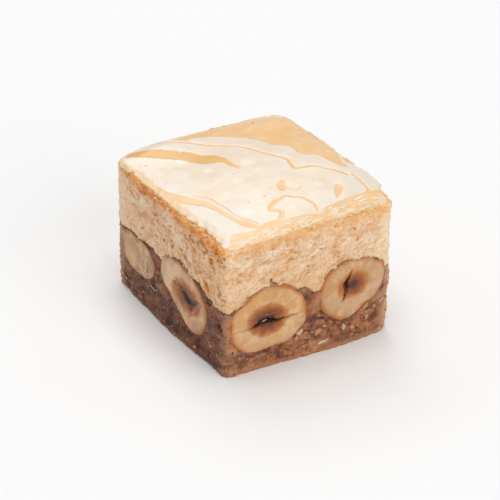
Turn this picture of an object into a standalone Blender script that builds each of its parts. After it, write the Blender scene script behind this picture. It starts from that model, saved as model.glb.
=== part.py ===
"""Baklava piece: a cut block of layered pastry, about 31 x 36 x 24 mm, standing on its flat base.

A base of dark nut paste carries whole hazelnuts, pale sponge is pressed down over them, and one
thin filo sheet closes the top. The knife has gone through the hazelnuts, so each is a half whose
flat cut lies flush in a side of the block, with the hollow of its kernel open.

Frame: metres, +Z up, origin at the middle of the base, front face towards -Y.
"""

import math
from collections import namedtuple

import bmesh
import bpy
from mathutils import Vector

MM = 0.001
UP = Vector((0, 0, 1))

# The block, measured over the ends of its sides.
HALF_WIDTH = 14.75 * MM
HALF_DEPTH = 17.3 * MM
CORNER_POWER = 20  # superellipse power of the plan: higher is a sharper upright edge
SIDE_BULGE = 0.35 * MM  # how far the middle of a side stands out past its ends
KNIFE_WAVE = 0.008  # unevenness left by the knife, as a share of the distance from the middle

# The crown: the top of the sponge, lowest at the front left corner and swollen towards +X.
CROWN_EDGE = 21.4 * MM
CROWN_TILT = 0.45 * MM
CROWN_SWELL_ALONG_X = 0.65 * MM
CROWN_SWELL_ALONG_Y = 0.95 * MM
CROWN_SWELL_RIGHT = 0.65 * MM

# The seam between the paste and the sponge.
SEAM_HEIGHT = 11.3 * MM
SEAM_WAVE = 0.35 * MM
CLEARANCE = 0.3 * MM  # gap kept between neighbouring pieces

# The filo sheet that closes the top.
SHEET_THICKNESS = 0.45 * MM
SHEET_OVERHANG = 0.35 * MM
SHEET_EDGE_WAVE = 0.2 * MM
SHEET_RIM_POWER = 6  # how close to the rim the overhang starts

# Subdivisions of the layers, of a hazelnut and of its hollow.
CUTS_ALONG_X = 11
CUTS_ALONG_Y = 13
CUTS_UP = 3
NUT_SEGMENTS = 24
NUT_RINGS = 12
HOLLOW_SEGMENTS = 12
HOLLOW_RINGS = 8

# A side of the block: its outward direction, the direction that runs to the right as it is
# looked at, and how far out it stands.
Side = namedtuple("Side", "outward right distance")
SIDES = {
    "front": Side(Vector((0, -1, 0)), Vector((1, 0, 0)), HALF_DEPTH),
    "left": Side(Vector((-1, 0, 0)), Vector((0, -1, 0)), HALF_WIDTH),
    "right": Side(Vector((1, 0, 0)), Vector((0, 1, 0)), HALF_WIDTH),
    "back": Side(Vector((0, 1, 0)), Vector((-1, 0, 0)), HALF_DEPTH),
}

# A hazelnut, in millimetres: its side, the place of its middle on that side, the reach of its
# outline at every eighth of a turn anticlockwise from the right, its depth into the block, and
# the half width, half height and depth of its hollow, where the cut opens it.
Hazelnut = namedtuple("Hazelnut", "side across up reaches depth hollow")
HAZELNUTS = {
    "hazelnut_front_left": Hazelnut(
        "front", -7.4, 8.6, (6.5, 5.9, 5.6, 5.8, 6.5, 6.6, 5.1, 5.8), 6.0, (2.0, 0.9, 1.6)),
    "hazelnut_front_right": Hazelnut(
        "front", 7.5, 9.4, (5.8, 5.9, 5.0, 5.8, 5.8, 5.5, 4.9, 4.5), 5.8, (1.7, 1.5, 1.3)),
    "hazelnut_left_middle": Hazelnut(
        "left", 4.8, 8.6, (7.2, 5.7, 4.8, 6.1, 6.9, 4.1, 4.4, 6.9), 6.0, (2.6, 1.1, 1.4)),
    "hazelnut_left_back": Hazelnut(
        "left", -9.9, 8.2, (5.9, 4.4, 3.1, 4.5, 6.1, 4.6, 3.3, 4.4), 4.4, None),
    "hazelnut_right_front": Hazelnut(
        "right", -5.4, 8.8, (6.4, 6.0, 5.4, 6.1, 6.2, 5.7, 5.3, 6.1), 5.8, (1.8, 1.2, 1.5)),
    "hazelnut_right_back": Hazelnut(
        "right", 8.5, 9.1, (5.8, 5.5, 5.1, 5.8, 5.9, 5.4, 4.8, 5.4), 5.6, (2.1, 0.8, 1.3)),
    "hazelnut_back": Hazelnut(
        "back", -3.5, 8.7, (6.3, 6.1, 5.5, 5.7, 6.2, 5.9, 5.0, 5.6), 5.8, (1.5, 1.3, 1.5)),
}


def clear_scene():
    for item in list(bpy.data.objects):
        bpy.data.objects.remove(item)


def new_collection(name):
    collection = bpy.data.collections.new(name)
    bpy.context.scene.collection.children.link(collection)
    return collection


def new_material(name, colour, roughness):
    """A food surface: a plain Principled colour, with no metal."""
    material = bpy.data.materials.new(name)
    material.use_nodes = True
    shader = material.node_tree.nodes["Principled BSDF"]
    shader.inputs["Base Color"].default_value = (*colour, 1)
    shader.inputs["Roughness"].default_value = roughness
    shader.inputs["Metallic"].default_value = 0
    return material


def take_primitive(name, collection):
    """Names the primitive that was just added, and moves it into its collection."""
    item = bpy.context.object
    item.name = name
    item.data.name = name
    for old in list(item.users_collection):
        old.objects.unlink(item)
    collection.objects.link(item)
    return item


def reshape(item, place):
    """Moves every vertex of an object to place(its old position)."""
    for vertex in item.data.vertices:
        vertex.co = place(vertex.co.copy())


def finish(item, material, edge_angle=40):
    item.data.materials.append(material)
    item.data.shade_smooth()
    item.data.set_sharp_from_angle(angle=math.radians(edge_angle))


def as_cutter(item):
    item.hide_render = True
    item.display_type = "WIRE"
    return item


def add_boolean(item, operation, cutter):
    modifier = item.modifiers.new(operation.lower(), "BOOLEAN")
    modifier.operation = operation
    modifier.solver = "EXACT"
    if isinstance(cutter, bpy.types.Collection):
        modifier.operand_type = "COLLECTION"
        modifier.collection = cutter
    else:
        modifier.object = cutter


def closer_to_ends(share):
    """Draws evenly spaced shares from -1 to 1 together at both ends, where the corners are."""
    return math.sin(share * math.pi / 2)


def plan_point(u, v, extra=0):
    """The place on the block's plan of the point (u, v) of a square from -1 to 1."""
    rim = max(abs(u), abs(v))
    if rim == 0:
        return Vector((0, 0, 0))
    corner = (abs(u / rim) ** CORNER_POWER + abs(v / rim) ** CORNER_POWER) ** (-1 / CORNER_POWER)
    return Vector((
        u * corner * (HALF_WIDTH + SIDE_BULGE * (1 - v * v) + extra),
        v * corner * (HALF_DEPTH + SIDE_BULGE * (1 - u * u) + extra),
        0,
    ))


def knife_wave(spot):
    """The factor by which the sides stand further out than the plan, at this place."""
    turn = math.atan2(spot.y, spot.x)
    slow = math.sin(5 * turn + 0.9) * math.cos(260 * spot.z)
    quick = math.sin(9 * turn + 380 * spot.z)
    return 1 + KNIFE_WAVE * (slow + 0.6 * quick)


def base_height(spot):
    return 0


def seam_height(spot):
    waves = math.sin(420 * spot.x + 1.2) + math.cos(380 * spot.y - 0.4)
    return SEAM_HEIGHT + SEAM_WAVE * waves / 2


def crown_height(spot):
    u = spot.x / HALF_WIDTH
    v = spot.y / HALF_DEPTH
    swell_x = max(0, 1 - u * u)
    swell_y = max(0, 1 - v * v)
    return (
        CROWN_EDGE
        + CROWN_TILT * u
        + CROWN_SWELL_ALONG_X * swell_x
        + CROWN_SWELL_ALONG_Y * swell_y
        + CROWN_SWELL_RIGHT * u * swell_y
    )


def make_layer(name, collection, bottom, top):
    """A solid with the block's sides, between two height functions of the plan."""
    bpy.ops.mesh.primitive_cube_add(size=2)
    item = take_primitive(name, collection)
    mesh = bmesh.new()
    mesh.from_mesh(item.data)
    for axis, cuts in enumerate((CUTS_ALONG_X, CUTS_ALONG_Y, CUTS_UP)):
        along = [
            edge for edge in mesh.edges
            if abs(edge.verts[0].co[axis] - edge.verts[1].co[axis]) > 1
        ]
        bmesh.ops.subdivide_edges(mesh, edges=along, cuts=cuts, use_grid_fill=True)
    mesh.to_mesh(item.data)
    mesh.free()

    def place(corner):
        spot = plan_point(closer_to_ends(corner.x), closer_to_ends(corner.y))
        share = (corner.z + 1) / 2
        spot.z = bottom(spot) * (1 - share) + top(spot) * share
        wave = knife_wave(spot)
        return Vector((spot.x * wave, spot.y * wave, spot.z))

    reshape(item, place)
    return item


def reach_at(turn, reaches):
    """The smooth outline through the reaches, as a Catmull-Rom curve round the turn."""
    position = turn / (2 * math.pi) * len(reaches)
    index = math.floor(position)
    t = position - index
    before, start, end, after = (reaches[(index + step) % len(reaches)] for step in (-1, 0, 1, 2))
    slope = end - before
    bend = 2 * before - 5 * start + 4 * end - after
    twist = 3 * (start - end) + after - before
    return start + t / 2 * (slope + t * (bend + t * twist))


def place_on_side(nut, across, up, out):
    """The place of a point given from a hazelnut's middle, across, up and out of its side."""
    side = SIDES[nut.side]
    return (
        side.outward * (side.distance + SIDE_BULGE / 2 + out)
        + side.right * (nut.across * MM + across)
        + UP * (nut.up * MM + up)
    )


def make_hazelnut(name, nut, collection, extra=0):
    """A whole hazelnut with its middle in a side of the block, which is cut to shape later."""
    bpy.ops.mesh.primitive_uv_sphere_add(segments=NUT_SEGMENTS, ring_count=NUT_RINGS, radius=1)
    item = take_primitive(name, collection)

    def place(point):
        turn = math.atan2(point.y, point.x)
        reach = math.hypot(point.x, point.y) * (reach_at(turn, nut.reaches) * MM + extra)
        out = point.z * (nut.depth * MM + extra)
        return place_on_side(nut, reach * math.cos(turn), reach * math.sin(turn), out)

    reshape(item, place)
    return item


def make_hollow(name, nut, collection):
    """The cutter that opens the hollow in a kernel's cut face."""
    half_width, half_height, depth = (size * MM for size in nut.hollow)
    bpy.ops.mesh.primitive_uv_sphere_add(segments=HOLLOW_SEGMENTS, ring_count=HOLLOW_RINGS, radius=1)
    item = take_primitive(name, collection)
    reshape(item, lambda point: place_on_side(
        nut, point.x * half_width, point.y * half_height, point.z * depth))
    return item


def make_sheet(name, collection):
    """The filo sheet: an open surface over the crown, its rim past the sides, thickened upwards."""
    bpy.ops.mesh.primitive_grid_add(
        x_subdivisions=CUTS_ALONG_X + 1, y_subdivisions=CUTS_ALONG_Y + 1, size=2)
    item = take_primitive(name, collection)

    def place(corner):
        u, v = closer_to_ends(corner.x), closer_to_ends(corner.y)
        turn = math.atan2(v, u)
        edge_wave = SHEET_EDGE_WAVE * (math.sin(7 * turn + 0.6) + math.sin(12 * turn + 2.1)) / 2
        overhang = max(abs(u), abs(v)) ** SHEET_RIM_POWER * (SHEET_OVERHANG + edge_wave)
        spot = plan_point(u, v, overhang)
        spot.z = crown_height(spot) + CLEARANCE
        return spot

    reshape(item, place)
    thicken = item.modifiers.new("thickness", "SOLIDIFY")
    thicken.thickness = SHEET_THICKNESS
    thicken.offset = 1
    return item


def main():
    clear_scene()
    parts = new_collection("baklava_piece")
    cutters = new_collection("cutters")
    sockets = new_collection("sockets")

    paste_brown = new_material("nut_paste", (0.19, 0.085, 0.04), 0.6)
    sponge_tan = new_material("sponge", (0.72, 0.47, 0.26), 0.75)
    filo_cream = new_material("filo", (0.86, 0.69, 0.43), 0.2)
    kernel_cream = new_material("hazelnut", (0.7, 0.45, 0.22), 0.45)

    block = as_cutter(make_layer("block_shape", cutters, base_height, crown_height))
    for name, nut in HAZELNUTS.items():
        half = make_hazelnut(name, nut, parts)
        add_boolean(half, "INTERSECT", block)
        if nut.hollow:
            add_boolean(half, "DIFFERENCE", as_cutter(make_hollow("hollow_of_" + name, nut, cutters)))
        finish(half, kernel_cream)
        as_cutter(make_hazelnut("socket_of_" + name, nut, sockets, extra=CLEARANCE))

    paste = make_layer("nut_paste", parts, base_height, lambda spot: seam_height(spot) - CLEARANCE / 2)
    add_boolean(paste, "DIFFERENCE", sockets)
    finish(paste, paste_brown)

    sponge = make_layer("sponge", parts, lambda spot: seam_height(spot) + CLEARANCE / 2, crown_height)
    add_boolean(sponge, "DIFFERENCE", sockets)
    finish(sponge, sponge_tan)

    finish(make_sheet("filo_sheet", parts), filo_cream)


main()
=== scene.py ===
"""A piece of baklava cut from its tray: a base of ground nut paste, whole hazelnuts pressed into it,
pale sponge baked over them, and a thin filo sheet on top, glazed with syrup. The knife went through
the hazelnuts, so their halves lie flush in the sides.

Shapes are worked out in millimetres, and each finished mesh is scaled to metres.
"""

import math
import random
from collections import namedtuple

import bmesh
import bpy
import numpy as np
from mathutils import Matrix, Vector, noise
from mathutils.bvhtree import BVHTree


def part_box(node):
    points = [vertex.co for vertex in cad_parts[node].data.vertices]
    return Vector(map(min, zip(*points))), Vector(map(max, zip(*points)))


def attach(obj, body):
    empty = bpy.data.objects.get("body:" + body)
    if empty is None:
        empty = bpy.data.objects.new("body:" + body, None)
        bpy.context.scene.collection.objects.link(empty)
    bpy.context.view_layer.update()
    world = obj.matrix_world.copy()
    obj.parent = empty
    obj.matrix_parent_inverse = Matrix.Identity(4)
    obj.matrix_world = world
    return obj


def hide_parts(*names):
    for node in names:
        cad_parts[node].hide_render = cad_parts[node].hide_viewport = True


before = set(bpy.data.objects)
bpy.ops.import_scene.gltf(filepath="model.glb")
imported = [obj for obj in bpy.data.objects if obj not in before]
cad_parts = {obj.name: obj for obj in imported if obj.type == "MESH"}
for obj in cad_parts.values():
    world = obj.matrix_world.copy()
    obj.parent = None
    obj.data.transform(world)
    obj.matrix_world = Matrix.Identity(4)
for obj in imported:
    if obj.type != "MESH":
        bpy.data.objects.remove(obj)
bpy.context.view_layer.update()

# ---------------------------------------------------------------------------------------------
# The nut paste base. Hazelnuts and walnuts ground with syrup and cocoa, pressed flat in the tray
# and cut with a knife: a moist brown mass of grains, with dark skins and pale chips in it.

MM = 0.001
CORNER_POWER = 28  # superellipse power of the block's plan
SIDE_BULGE = 0.35  # how far the middle of a side stands out past its ends
KNIFE_WAVE = 0.12  # unevenness of the cut sides
CELLS_ROUND = 900  # cells of a wall's surface, round the block and up a layer
CELLS_UP = 78
EDGE_RINGS = 12  # rings of the rounded edge at a layer's top
CAP_SHARES = (0.87, 0.5, 0.1)  # rings that close a layer's ends, as shares of its plan
SOCKET_DEPTH = 2.0  # how far a wall steps back behind a halved hazelnut
NUT_ZONE = 9  # places farther than this from a half's middle are clear of it
WALL_ZONE = 12  # and so are places nearer the block's middle than this
OFF_SIDE = 99  # a place far from every mark
MARK_TEAR = 0.28  # how ragged the border of a mark is, and how soft
MARK_SOFT = 0.3
WARP_SEED = 31
noise.seed_set(WARP_SEED)  # until it is seeded, Blender's noise_vector gives other values each run


def box_of(node):
    """The two far corners of a CAD node's box, in millimetres."""
    return [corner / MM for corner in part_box(node)]


paste_low, paste_high = box_of("nut_paste")
HALF_WIDTH = (paste_high.x - paste_low.x) / 2 - SIDE_BULGE - KNIFE_WAVE
HALF_DEPTH = (paste_high.y - paste_low.y) / 2 - SIDE_BULGE - KNIFE_WAVE

SEAM_HEIGHT = 11.3  # where the paste ends and the sponge begins
# Places where the paste has risen between the nuts, or the sponge has sunk: x, y, rise, width.
SEAM_RISES = (
    (-1.2, -17.5, 1.1, 1.2),
    (0.9, -17.5, -0.9, 1.1),
    (-15.0, 5.5, 0.8, 2.5),
    (-15.0, -9.0, 1.5, 3.5),
    (-15.0, -15.0, -0.5, 2.0),
    (15.0, 0.5, 0.9, 1.6),
    (2.0, 17.5, -0.8, 3.0),
)

# A side of the block: the outward direction, and the one that runs right as it is looked at.
Side = namedtuple("Side", "outward right")
SIDES = {
    "front": Side(Vector((0, -1, 0)), Vector((1, 0, 0))),
    "right": Side(Vector((1, 0, 0)), Vector((0, 1, 0))),
    "back": Side(Vector((0, 1, 0)), Vector((-1, 0, 0))),
    "left": Side(Vector((-1, 0, 0)), Vector((0, -1, 0))),
}

# A halved hazelnut: its side, and the reach of its cut face from its middle, at every sixteenth
# of a turn anticlockwise from the right.
Half = namedtuple("Half", "side reaches")
HALVES = {
    "hazelnut_front_left": Half("front", (
        6.5, 6.2, 5.85, 5.6, 5.6, 5.6, 5.7, 6.35, 6.6, 6.9, 6.65, 5.75, 5.15, 5.6, 6.0, 6.6)),
    "hazelnut_front_right": Half("front", (
        5.7, 6.35, 5.85, 5.1, 5.0, 5.3, 5.7, 6.0, 5.8, 6.0, 5.5, 5.5, 4.75, 4.15, 4.4, 5.2)),
    "hazelnut_left_middle": Half("left", (
        7.1, 6.3, 5.4, 4.9, 4.75, 5.3, 6.35, 7.2, 6.6, 4.7, 4.0, 3.95, 4.45, 5.7, 6.9, 7.15)),
    "hazelnut_left_back": Half("left", (
        5.95, 5.5, 4.4, 3.4, 3.1, 3.4, 4.3, 5.5, 6.1, 5.6, 4.6, 3.6, 3.3, 3.5, 4.1, 5.1)),
    "hazelnut_right_front": Half("right", (
        6.4, 6.3, 6.0, 5.6, 5.4, 5.7, 6.1, 6.35, 6.2, 6.0, 5.7, 5.4, 5.3, 5.6, 6.1, 6.4)),
    "hazelnut_right_back": Half("right", (
        5.8, 5.8, 5.5, 5.2, 5.1, 5.3, 5.8, 6.1, 5.9, 5.7, 5.4, 5.0, 4.8, 5.0, 5.4, 5.7)),
    "hazelnut_back": Half("back", (
        6.3, 6.3, 6.1, 5.7, 5.5, 5.5, 5.7, 6.0, 6.2, 6.1, 5.9, 5.4, 5.0, 5.2, 5.6, 6.1)),
}


def smooth_step(low, high, value):
    share = min(1, max(0, (value - low) / (high - low)))
    return share * share * (3 - 2 * share)


def curve_through(t, before, start, end, after):
    """The place at the share t from start to end, on the Catmull-Rom curve through the four."""
    bend = 2 * before - 5 * start + 4 * end - after
    twist = 3 * (start - end) + after - before
    return start + t / 2 * (end - before + t * (bend + t * twist))


def reach_at(turn, reaches):
    """How far the smooth outline through the reaches is from its middle at a turn."""
    position = turn / math.tau * len(reaches)
    index = math.floor(position)
    near = (reaches[(index + step) % len(reaches)] for step in (-1, 0, 1, 2))
    return curve_through(position - index, *near)


def plan_spot(u, v):
    """The place on the block's plan of the point (u, v) of a square from -1 to 1."""
    rim = max(abs(u), abs(v))
    if not rim:
        return Vector((0, 0, 0))
    corner = (abs(u / rim) ** CORNER_POWER + abs(v / rim) ** CORNER_POWER) ** (-1 / CORNER_POWER)
    return Vector((
        u * corner * (HALF_WIDTH + SIDE_BULGE * (1 - v * v)),
        v * corner * (HALF_DEPTH + SIDE_BULGE * (1 - u * u)),
        0,
    ))


def square_spot(share):
    """The point (u, v) of the square's edge at a share of the way round the block."""
    front, right = 2 * HALF_WIDTH, 2 * HALF_DEPTH
    along = share % 1 * 2 * (front + right)
    if along < front:
        return along / front * 2 - 1, -1
    if along < front + right:
        return 1, (along - front) / right * 2 - 1
    if along < 2 * front + right:
        return 1 - (along - front - right) / front * 2, 1
    return -1, 1 - (along - 2 * front - right) / right * 2


def at_left(spot, start=1.0, past=0.0):
    """How near a place is to the left side, from 0 at start millimetres inside it to 1."""
    return smooth_step(start - HALF_WIDTH, -HALF_WIDTH - past, spot.x)


def at_front(spot, start=1.0, past=0.0):
    """The same for the front."""
    return smooth_step(start - HALF_DEPTH, -HALF_DEPTH - past, spot.y)


def hump(place, middle, width):
    """A smooth bump, 1 at its middle."""
    return math.exp(-(((place - middle) / width) ** 2))


def knife_wave(spot):
    """How far the knife, and the block's own weight, left the side standing out at this place."""
    slow = noise.noise(spot * 0.14)
    quick = noise.noise(spot * 0.45 + Vector((7, 3, 1)))
    foot = hump(spot.z, 0, 3.0)
    spread = foot * (0.4 * at_left(spot) * hump(spot.y, -2, 12) + 0.5 * at_front(spot) * hump(spot.x, 6, 6))
    trodden = 0.5 * math.exp(-(((spot.x - HALF_WIDTH) / 1.2) ** 2) - ((spot.y + HALF_DEPTH) / 1.2) ** 2)
    return KNIFE_WAVE * (1.2 * slow + 0.8 * quick) + spread - foot * trodden


def side_spot(side, across, up, out=0):
    """The place on a cut side, across it and up it, standing out from it."""
    outward, right = SIDES[side]
    half_out, half_across = (HALF_DEPTH, HALF_WIDTH) if outward.y else (HALF_WIDTH, HALF_DEPTH)
    w = max(-0.999, min(0.999, across / half_across))
    corner = (1 - abs(w) ** CORNER_POWER) ** (1 / CORNER_POWER)
    spot = outward * corner * (half_out + SIDE_BULGE * (1 - w * w)) + right * across
    spot.z = up
    return spot + outward * (knife_wave(spot) + out)


def half_middle(name):
    """The place of a half's middle across its side and up, from the box of its solid."""
    side, reaches = HALVES[name]
    low, high = box_of(name)
    turns = [math.tau * step / 64 for step in range(64)]
    across = [reach_at(turn, reaches) * math.cos(turn) for turn in turns]
    up = [reach_at(turn, reaches) * math.sin(turn) for turn in turns]
    return (
        (low + high).dot(SIDES[side].right) / 2 - (min(across) + max(across)) / 2,
        (low.z + high.z) / 2 - (min(up) + max(up)) / 2,
    )


MIDDLES = {name: half_middle(name) for name in HALVES}


def inside_half(name, spot):
    """How far a place on the wall is inside the outline of a half: negative outside it."""
    side, reaches = HALVES[name]
    outward, right = SIDES[side]
    across, up = spot.dot(right) - MIDDLES[name][0], spot.z - MIDDLES[name][1]
    distance = math.hypot(across, up)
    if distance > NUT_ZONE or spot.dot(outward) < WALL_ZONE:
        return -NUT_ZONE
    return reach_at(math.atan2(up, across) % math.tau, reaches) - distance


def inside_nuts(spot):
    return max(inside_half(name, spot) for name in HALVES)


def seam_height(spot):
    plan = Vector((spot.x, spot.y, 0))
    height = SEAM_HEIGHT + 0.5 * noise.noise(plan * 0.5) + 0.3 * noise.noise(plan * 1.7)
    for x, y, rise, width in SEAM_RISES:
        height += rise * math.exp(-(((spot.x - x) / width) ** 2) - ((spot.y - y) / width) ** 2)
    return height


def smooth_route(points, closed=False, steps=8):
    """A smooth route through the points, with a number of steps from each to the next."""
    points = np.array(points, float)
    if closed:
        points = np.concatenate([points[-1:], points, points[:2]])
    else:
        points = np.concatenate([2 * points[:1] - points[1:2], points, 2 * points[-1:] - points[-2:-1]])
    t = np.arange(steps)[:, None] / steps
    route = [curve_through(t, *four) for four in zip(points, points[1:], points[2:], points[3:])]
    return np.concatenate(route + [points[-2:-1]])


def outside_route(spots, route):
    """How far each spot is outside a route, past its half width where it has one."""
    if route.shape[1] == 2:
        route = np.column_stack([route, np.zeros(len(route))])
    nearest = np.full(len(spots), np.inf)
    for start, end in zip(route, route[1:]):
        along = (end - start)[:2]
        share = np.clip((spots - start[:2]) @ along / max(along @ along, 1e-9), 0, 1)
        gap = np.linalg.norm(spots - start[:2] - share[:, None] * along, axis=1)
        nearest = np.minimum(nearest, gap - start[2] - share * (end[2] - start[2]))
    return nearest


def soft_edge(outside, soft):
    """1 inside, 0 outside, eased over the soft width."""
    share = np.clip(0.5 - outside / soft, 0, 1)
    return share * share * (3 - 2 * share)


def grow_ring(skin, edges):
    """Extrudes a ring of edges, and returns the vertices and the edges of the new ring."""
    grown = bmesh.ops.extrude_edge_only(skin, edges=edges)["geom"]
    kinds = (bmesh.types.BMVert, bmesh.types.BMEdge)
    return [[part for part in grown if isinstance(part, kind)] for kind in kinds]


def close_skin(skin):
    """Caps the open ends of a skin and turns its faces outwards."""
    bmesh.ops.holes_fill(skin, edges=[edge for edge in skin.edges if edge.is_boundary])
    bmesh.ops.recalc_face_normals(skin, faces=skin.faces)


def new_layer(bottom, top, masks, rounding=lambda spot: (0.01, 0.01)):
    """The closed skin of a layer between two heights: cap, wall, cap, as one ring extruded on.

    rounding gives how far the top edge is rounded inwards and downwards at a place. It returns the
    skin, the vertices of its wall and the way out of the wall at each."""
    skin = bmesh.new()
    for name in masks:
        skin.verts.layers.float.new(name)
    ring = bmesh.ops.create_circle(skin, segments=CELLS_ROUND, radius=1)["verts"]
    turns = [math.atan2(vertex.co.y, vertex.co.x) / math.tau for vertex in ring]
    outline = [plan_spot(*square_spot(turn)) for turn in turns]
    outwards = []
    for before, after in zip(outline[-1:] + outline[:-1], outline[1:] + outline[:1]):
        outwards.append(Vector((after.y - before.y, before.x - after.x, 0)).normalized())
    edges = list(skin.edges)
    rings = [("cap", share, 0) for share in reversed(CAP_SHARES)]
    rings += [("wall", 1, step / CELLS_UP) for step in range(CELLS_UP + 1)]
    rings += [("edge", 1, math.pi / 2 * step / EDGE_RINGS) for step in range(1, EDGE_RINGS + 1)]
    rings += [("cap", share, 1) for share in CAP_SHARES]
    wall = []
    ways = []
    for number, (part, share, up) in enumerate(rings):
        if number:
            ring, edges = grow_ring(skin, edges)
        for vertex, spot in zip(ring, outline):
            inwards, drop = rounding(spot)
            if part == "cap":
                vertex.co = spot * share * (1 - up * inwards / HALF_WIDTH)
                vertex.co.z = top(vertex.co) if up else bottom(vertex.co)
            elif part == "wall":
                vertex.co = spot
                vertex.co.z = bottom(spot) * (1 - up) + (top(spot) - drop) * up
            else:
                vertex.co = spot * (1 - (1 - math.cos(up)) * inwards / HALF_WIDTH)
                vertex.co.z = top(spot) - drop * (1 - math.sin(up))
        if part != "cap":
            wall += ring
            lean = up if part == "edge" else 0
            ways += [way * math.cos(lean) + Vector((0, 0, math.sin(lean))) for way in outwards]
    close_skin(skin)
    return skin, wall, ways


def side_places(spots, name):
    """Across and up a side, for each spot on it. The others get a place far away."""
    outward, right = (np.array(direction) for direction in SIDES[name])
    places = np.column_stack([spots @ right, spots[:, 2]])
    reach = HALF_DEPTH if outward[1] else HALF_WIDTH
    places[spots @ outward < reach - 1.5] = OFF_SIDE
    return places


def shape_wall(wall, ways, surface, layers, marks):
    """Moves a wall out by the knife's wave and by surface(spot), and steps it back for the nuts.

    surface gives the relief and then a value for each layer; the first is how hollow it is there.
    marks holds the holes and cracks of each side: a depth, then a route across and up, with half
    widths."""
    spots = np.array([vertex.co for vertex in wall])
    inside = np.array([inside_nuts(vertex.co) for vertex in wall])
    values = np.array([surface(vertex.co, within) for vertex, within in zip(wall, inside)])
    torn = np.array([
        noise.noise_vector(vertex.co * 1.7) + 0.5 * noise.noise_vector(vertex.co * 4) for vertex in wall])
    for side, side_marks in marks.items():
        places = side_places(spots + MARK_TEAR * torn, side)
        for depth, *points in side_marks:
            near = soft_edge(outside_route(places, smooth_route(points, steps=4)), MARK_SOFT)
            values[:, 0] -= depth * near
            values[:, 1] = np.maximum(values[:, 1], near)
    for vertex, way, spot, within, (relief, *masks) in zip(wall, ways, spots, inside, values):
        # Crumbs lap over the nut's rim here and there, and elsewhere the wall stops short of it.
        lap = 0.22 * noise.noise(Vector(spot) * 1.3 + Vector((4, 4, 4))) if abs(within) < 1 else 0
        lip = (0.14 if lap > 0 else -0.04) * smooth_step(0, 0.06, abs(lap)) * hump(within, 0, 0.2)
        socket = -SOCKET_DEPTH * smooth_step(0.03, 0.42, within - max(0, 1.6 * lap))
        vertex.co = Vector(spot) + way * (knife_wave(Vector(spot)) + relief + lip + socket)
        for layer, value in zip(layers, masks):
            vertex[layer] = value


def finish_piece(skin, name, material, node):
    """Turns a bmesh in millimetres into a piece in metres. It stands for a CAD node, if one is named."""
    bmesh.ops.scale(skin, vec=(MM, MM, MM), verts=skin.verts)
    mesh = bpy.data.meshes.new(name)
    skin.to_mesh(mesh)
    skin.free()
    mesh.materials.append(material)
    mesh.shade_smooth()
    piece = bpy.data.objects.new(name, mesh)
    bpy.context.scene.collection.objects.link(piece)
    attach(piece, "root")
    if node:
        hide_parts(node)


# Material helpers: a socket of one node feeds another, or takes a plain value.
def feed(tree, socket, value):
    if isinstance(value, bpy.types.NodeSocket):
        tree.links.new(value, socket)
    else:
        socket.default_value = value


def mixed(tree, share, under, over, blend="MIX"):
    """The colour that goes from under to over as the share goes from 0 to 1."""
    mix = tree.nodes.new("ShaderNodeMix")
    mix.data_type = "RGBA"
    mix.blend_type = blend
    feed(tree, mix.inputs[0], share)
    feed(tree, mix.inputs[6], under)
    feed(tree, mix.inputs[7], over)
    return mix.outputs[2]


def ranged(tree, value, low, high, start=0.0, end=1.0):
    """A value eased from start to end as it goes from low to high."""
    steps = tree.nodes.new("ShaderNodeMapRange")
    steps.interpolation_type = "SMOOTHSTEP"
    for socket, number in zip(steps.inputs, (value, low, high, start, end)):
        feed(tree, socket, number)
    return steps.outputs[0]


def worked(tree, operation, first, second=0.0):
    node = tree.nodes.new("ShaderNodeMath")
    node.operation = operation
    feed(tree, node.inputs[0], first)
    feed(tree, node.inputs[1], second)
    return node.outputs[0]


def times(tree, first, second):
    return worked(tree, "MULTIPLY", first, second)


def layered(tree, colour, *layers):
    """Lays colours over one: each where its value goes from low to high, up to a share."""
    for value, low, high, share, over in layers:
        colour = mixed(tree, ranged(tree, value, low, high, 0.0, share), colour, over)
    return colour


def mask_of(tree, name):
    """The value that the mesh carries under this name."""
    attribute = tree.nodes.new("ShaderNodeAttribute")
    attribute.attribute_name = name
    return attribute.outputs["Fac"]


def place_of(tree):
    return tree.nodes.new("ShaderNodeTexCoord").outputs["Object"]


def speckle(tree, place, size, detail=3.0, rough=0.6):
    """Soft noise from 0 to 1 whose blots are about size metres wide."""
    node = tree.nodes.new("ShaderNodeTexNoise")
    feed(tree, node.inputs["Vector"], place)
    node.inputs["Scale"].default_value = 1 / size
    node.inputs["Detail"].default_value = detail
    node.inputs["Roughness"].default_value = rough
    return node.outputs["Fac"]


def shifted(tree, place, size, amount):
    """A place pushed about by soft noise, so that what is drawn there comes out crooked."""
    node = tree.nodes.new("ShaderNodeTexNoise")
    feed(tree, node.inputs["Vector"], place)
    node.inputs["Scale"].default_value = 1 / size
    centred = tree.nodes.new("ShaderNodeVectorMath")
    centred.operation = "MULTIPLY_ADD"
    feed(tree, centred.inputs[0], node.outputs["Color"])
    centred.inputs[1].default_value = (amount, amount, amount)
    feed(tree, centred.inputs[2], place)
    return centred.outputs[0]


def axes_of(tree, place):
    split = tree.nodes.new("ShaderNodeSeparateXYZ")
    feed(tree, split.inputs[0], place)
    return split.outputs


def bumped(tree, height, distance, strength=1.0, under=None):
    bump = tree.nodes.new("ShaderNodeBump")
    bump.inputs["Strength"].default_value = strength
    bump.inputs["Distance"].default_value = distance
    feed(tree, bump.inputs["Height"], height)
    if under is not None:
        feed(tree, bump.inputs["Normal"], under)
    return bump.outputs["Normal"]


def food_material(name, subsurface=0.0, depth=0.0005, tint=(1.0, 0.45, 0.2)):
    """A moist food surface that lets light a little way in. Returns it, its tree and its shader."""
    material = bpy.data.materials.new(name)
    material.use_nodes = True
    shader = material.node_tree.nodes["Principled BSDF"]
    shader.inputs["Subsurface Weight"].default_value = subsurface
    shader.inputs["Subsurface Scale"].default_value = depth
    shader.inputs["Subsurface Radius"].default_value = tint
    return material, material.node_tree, shader


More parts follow.
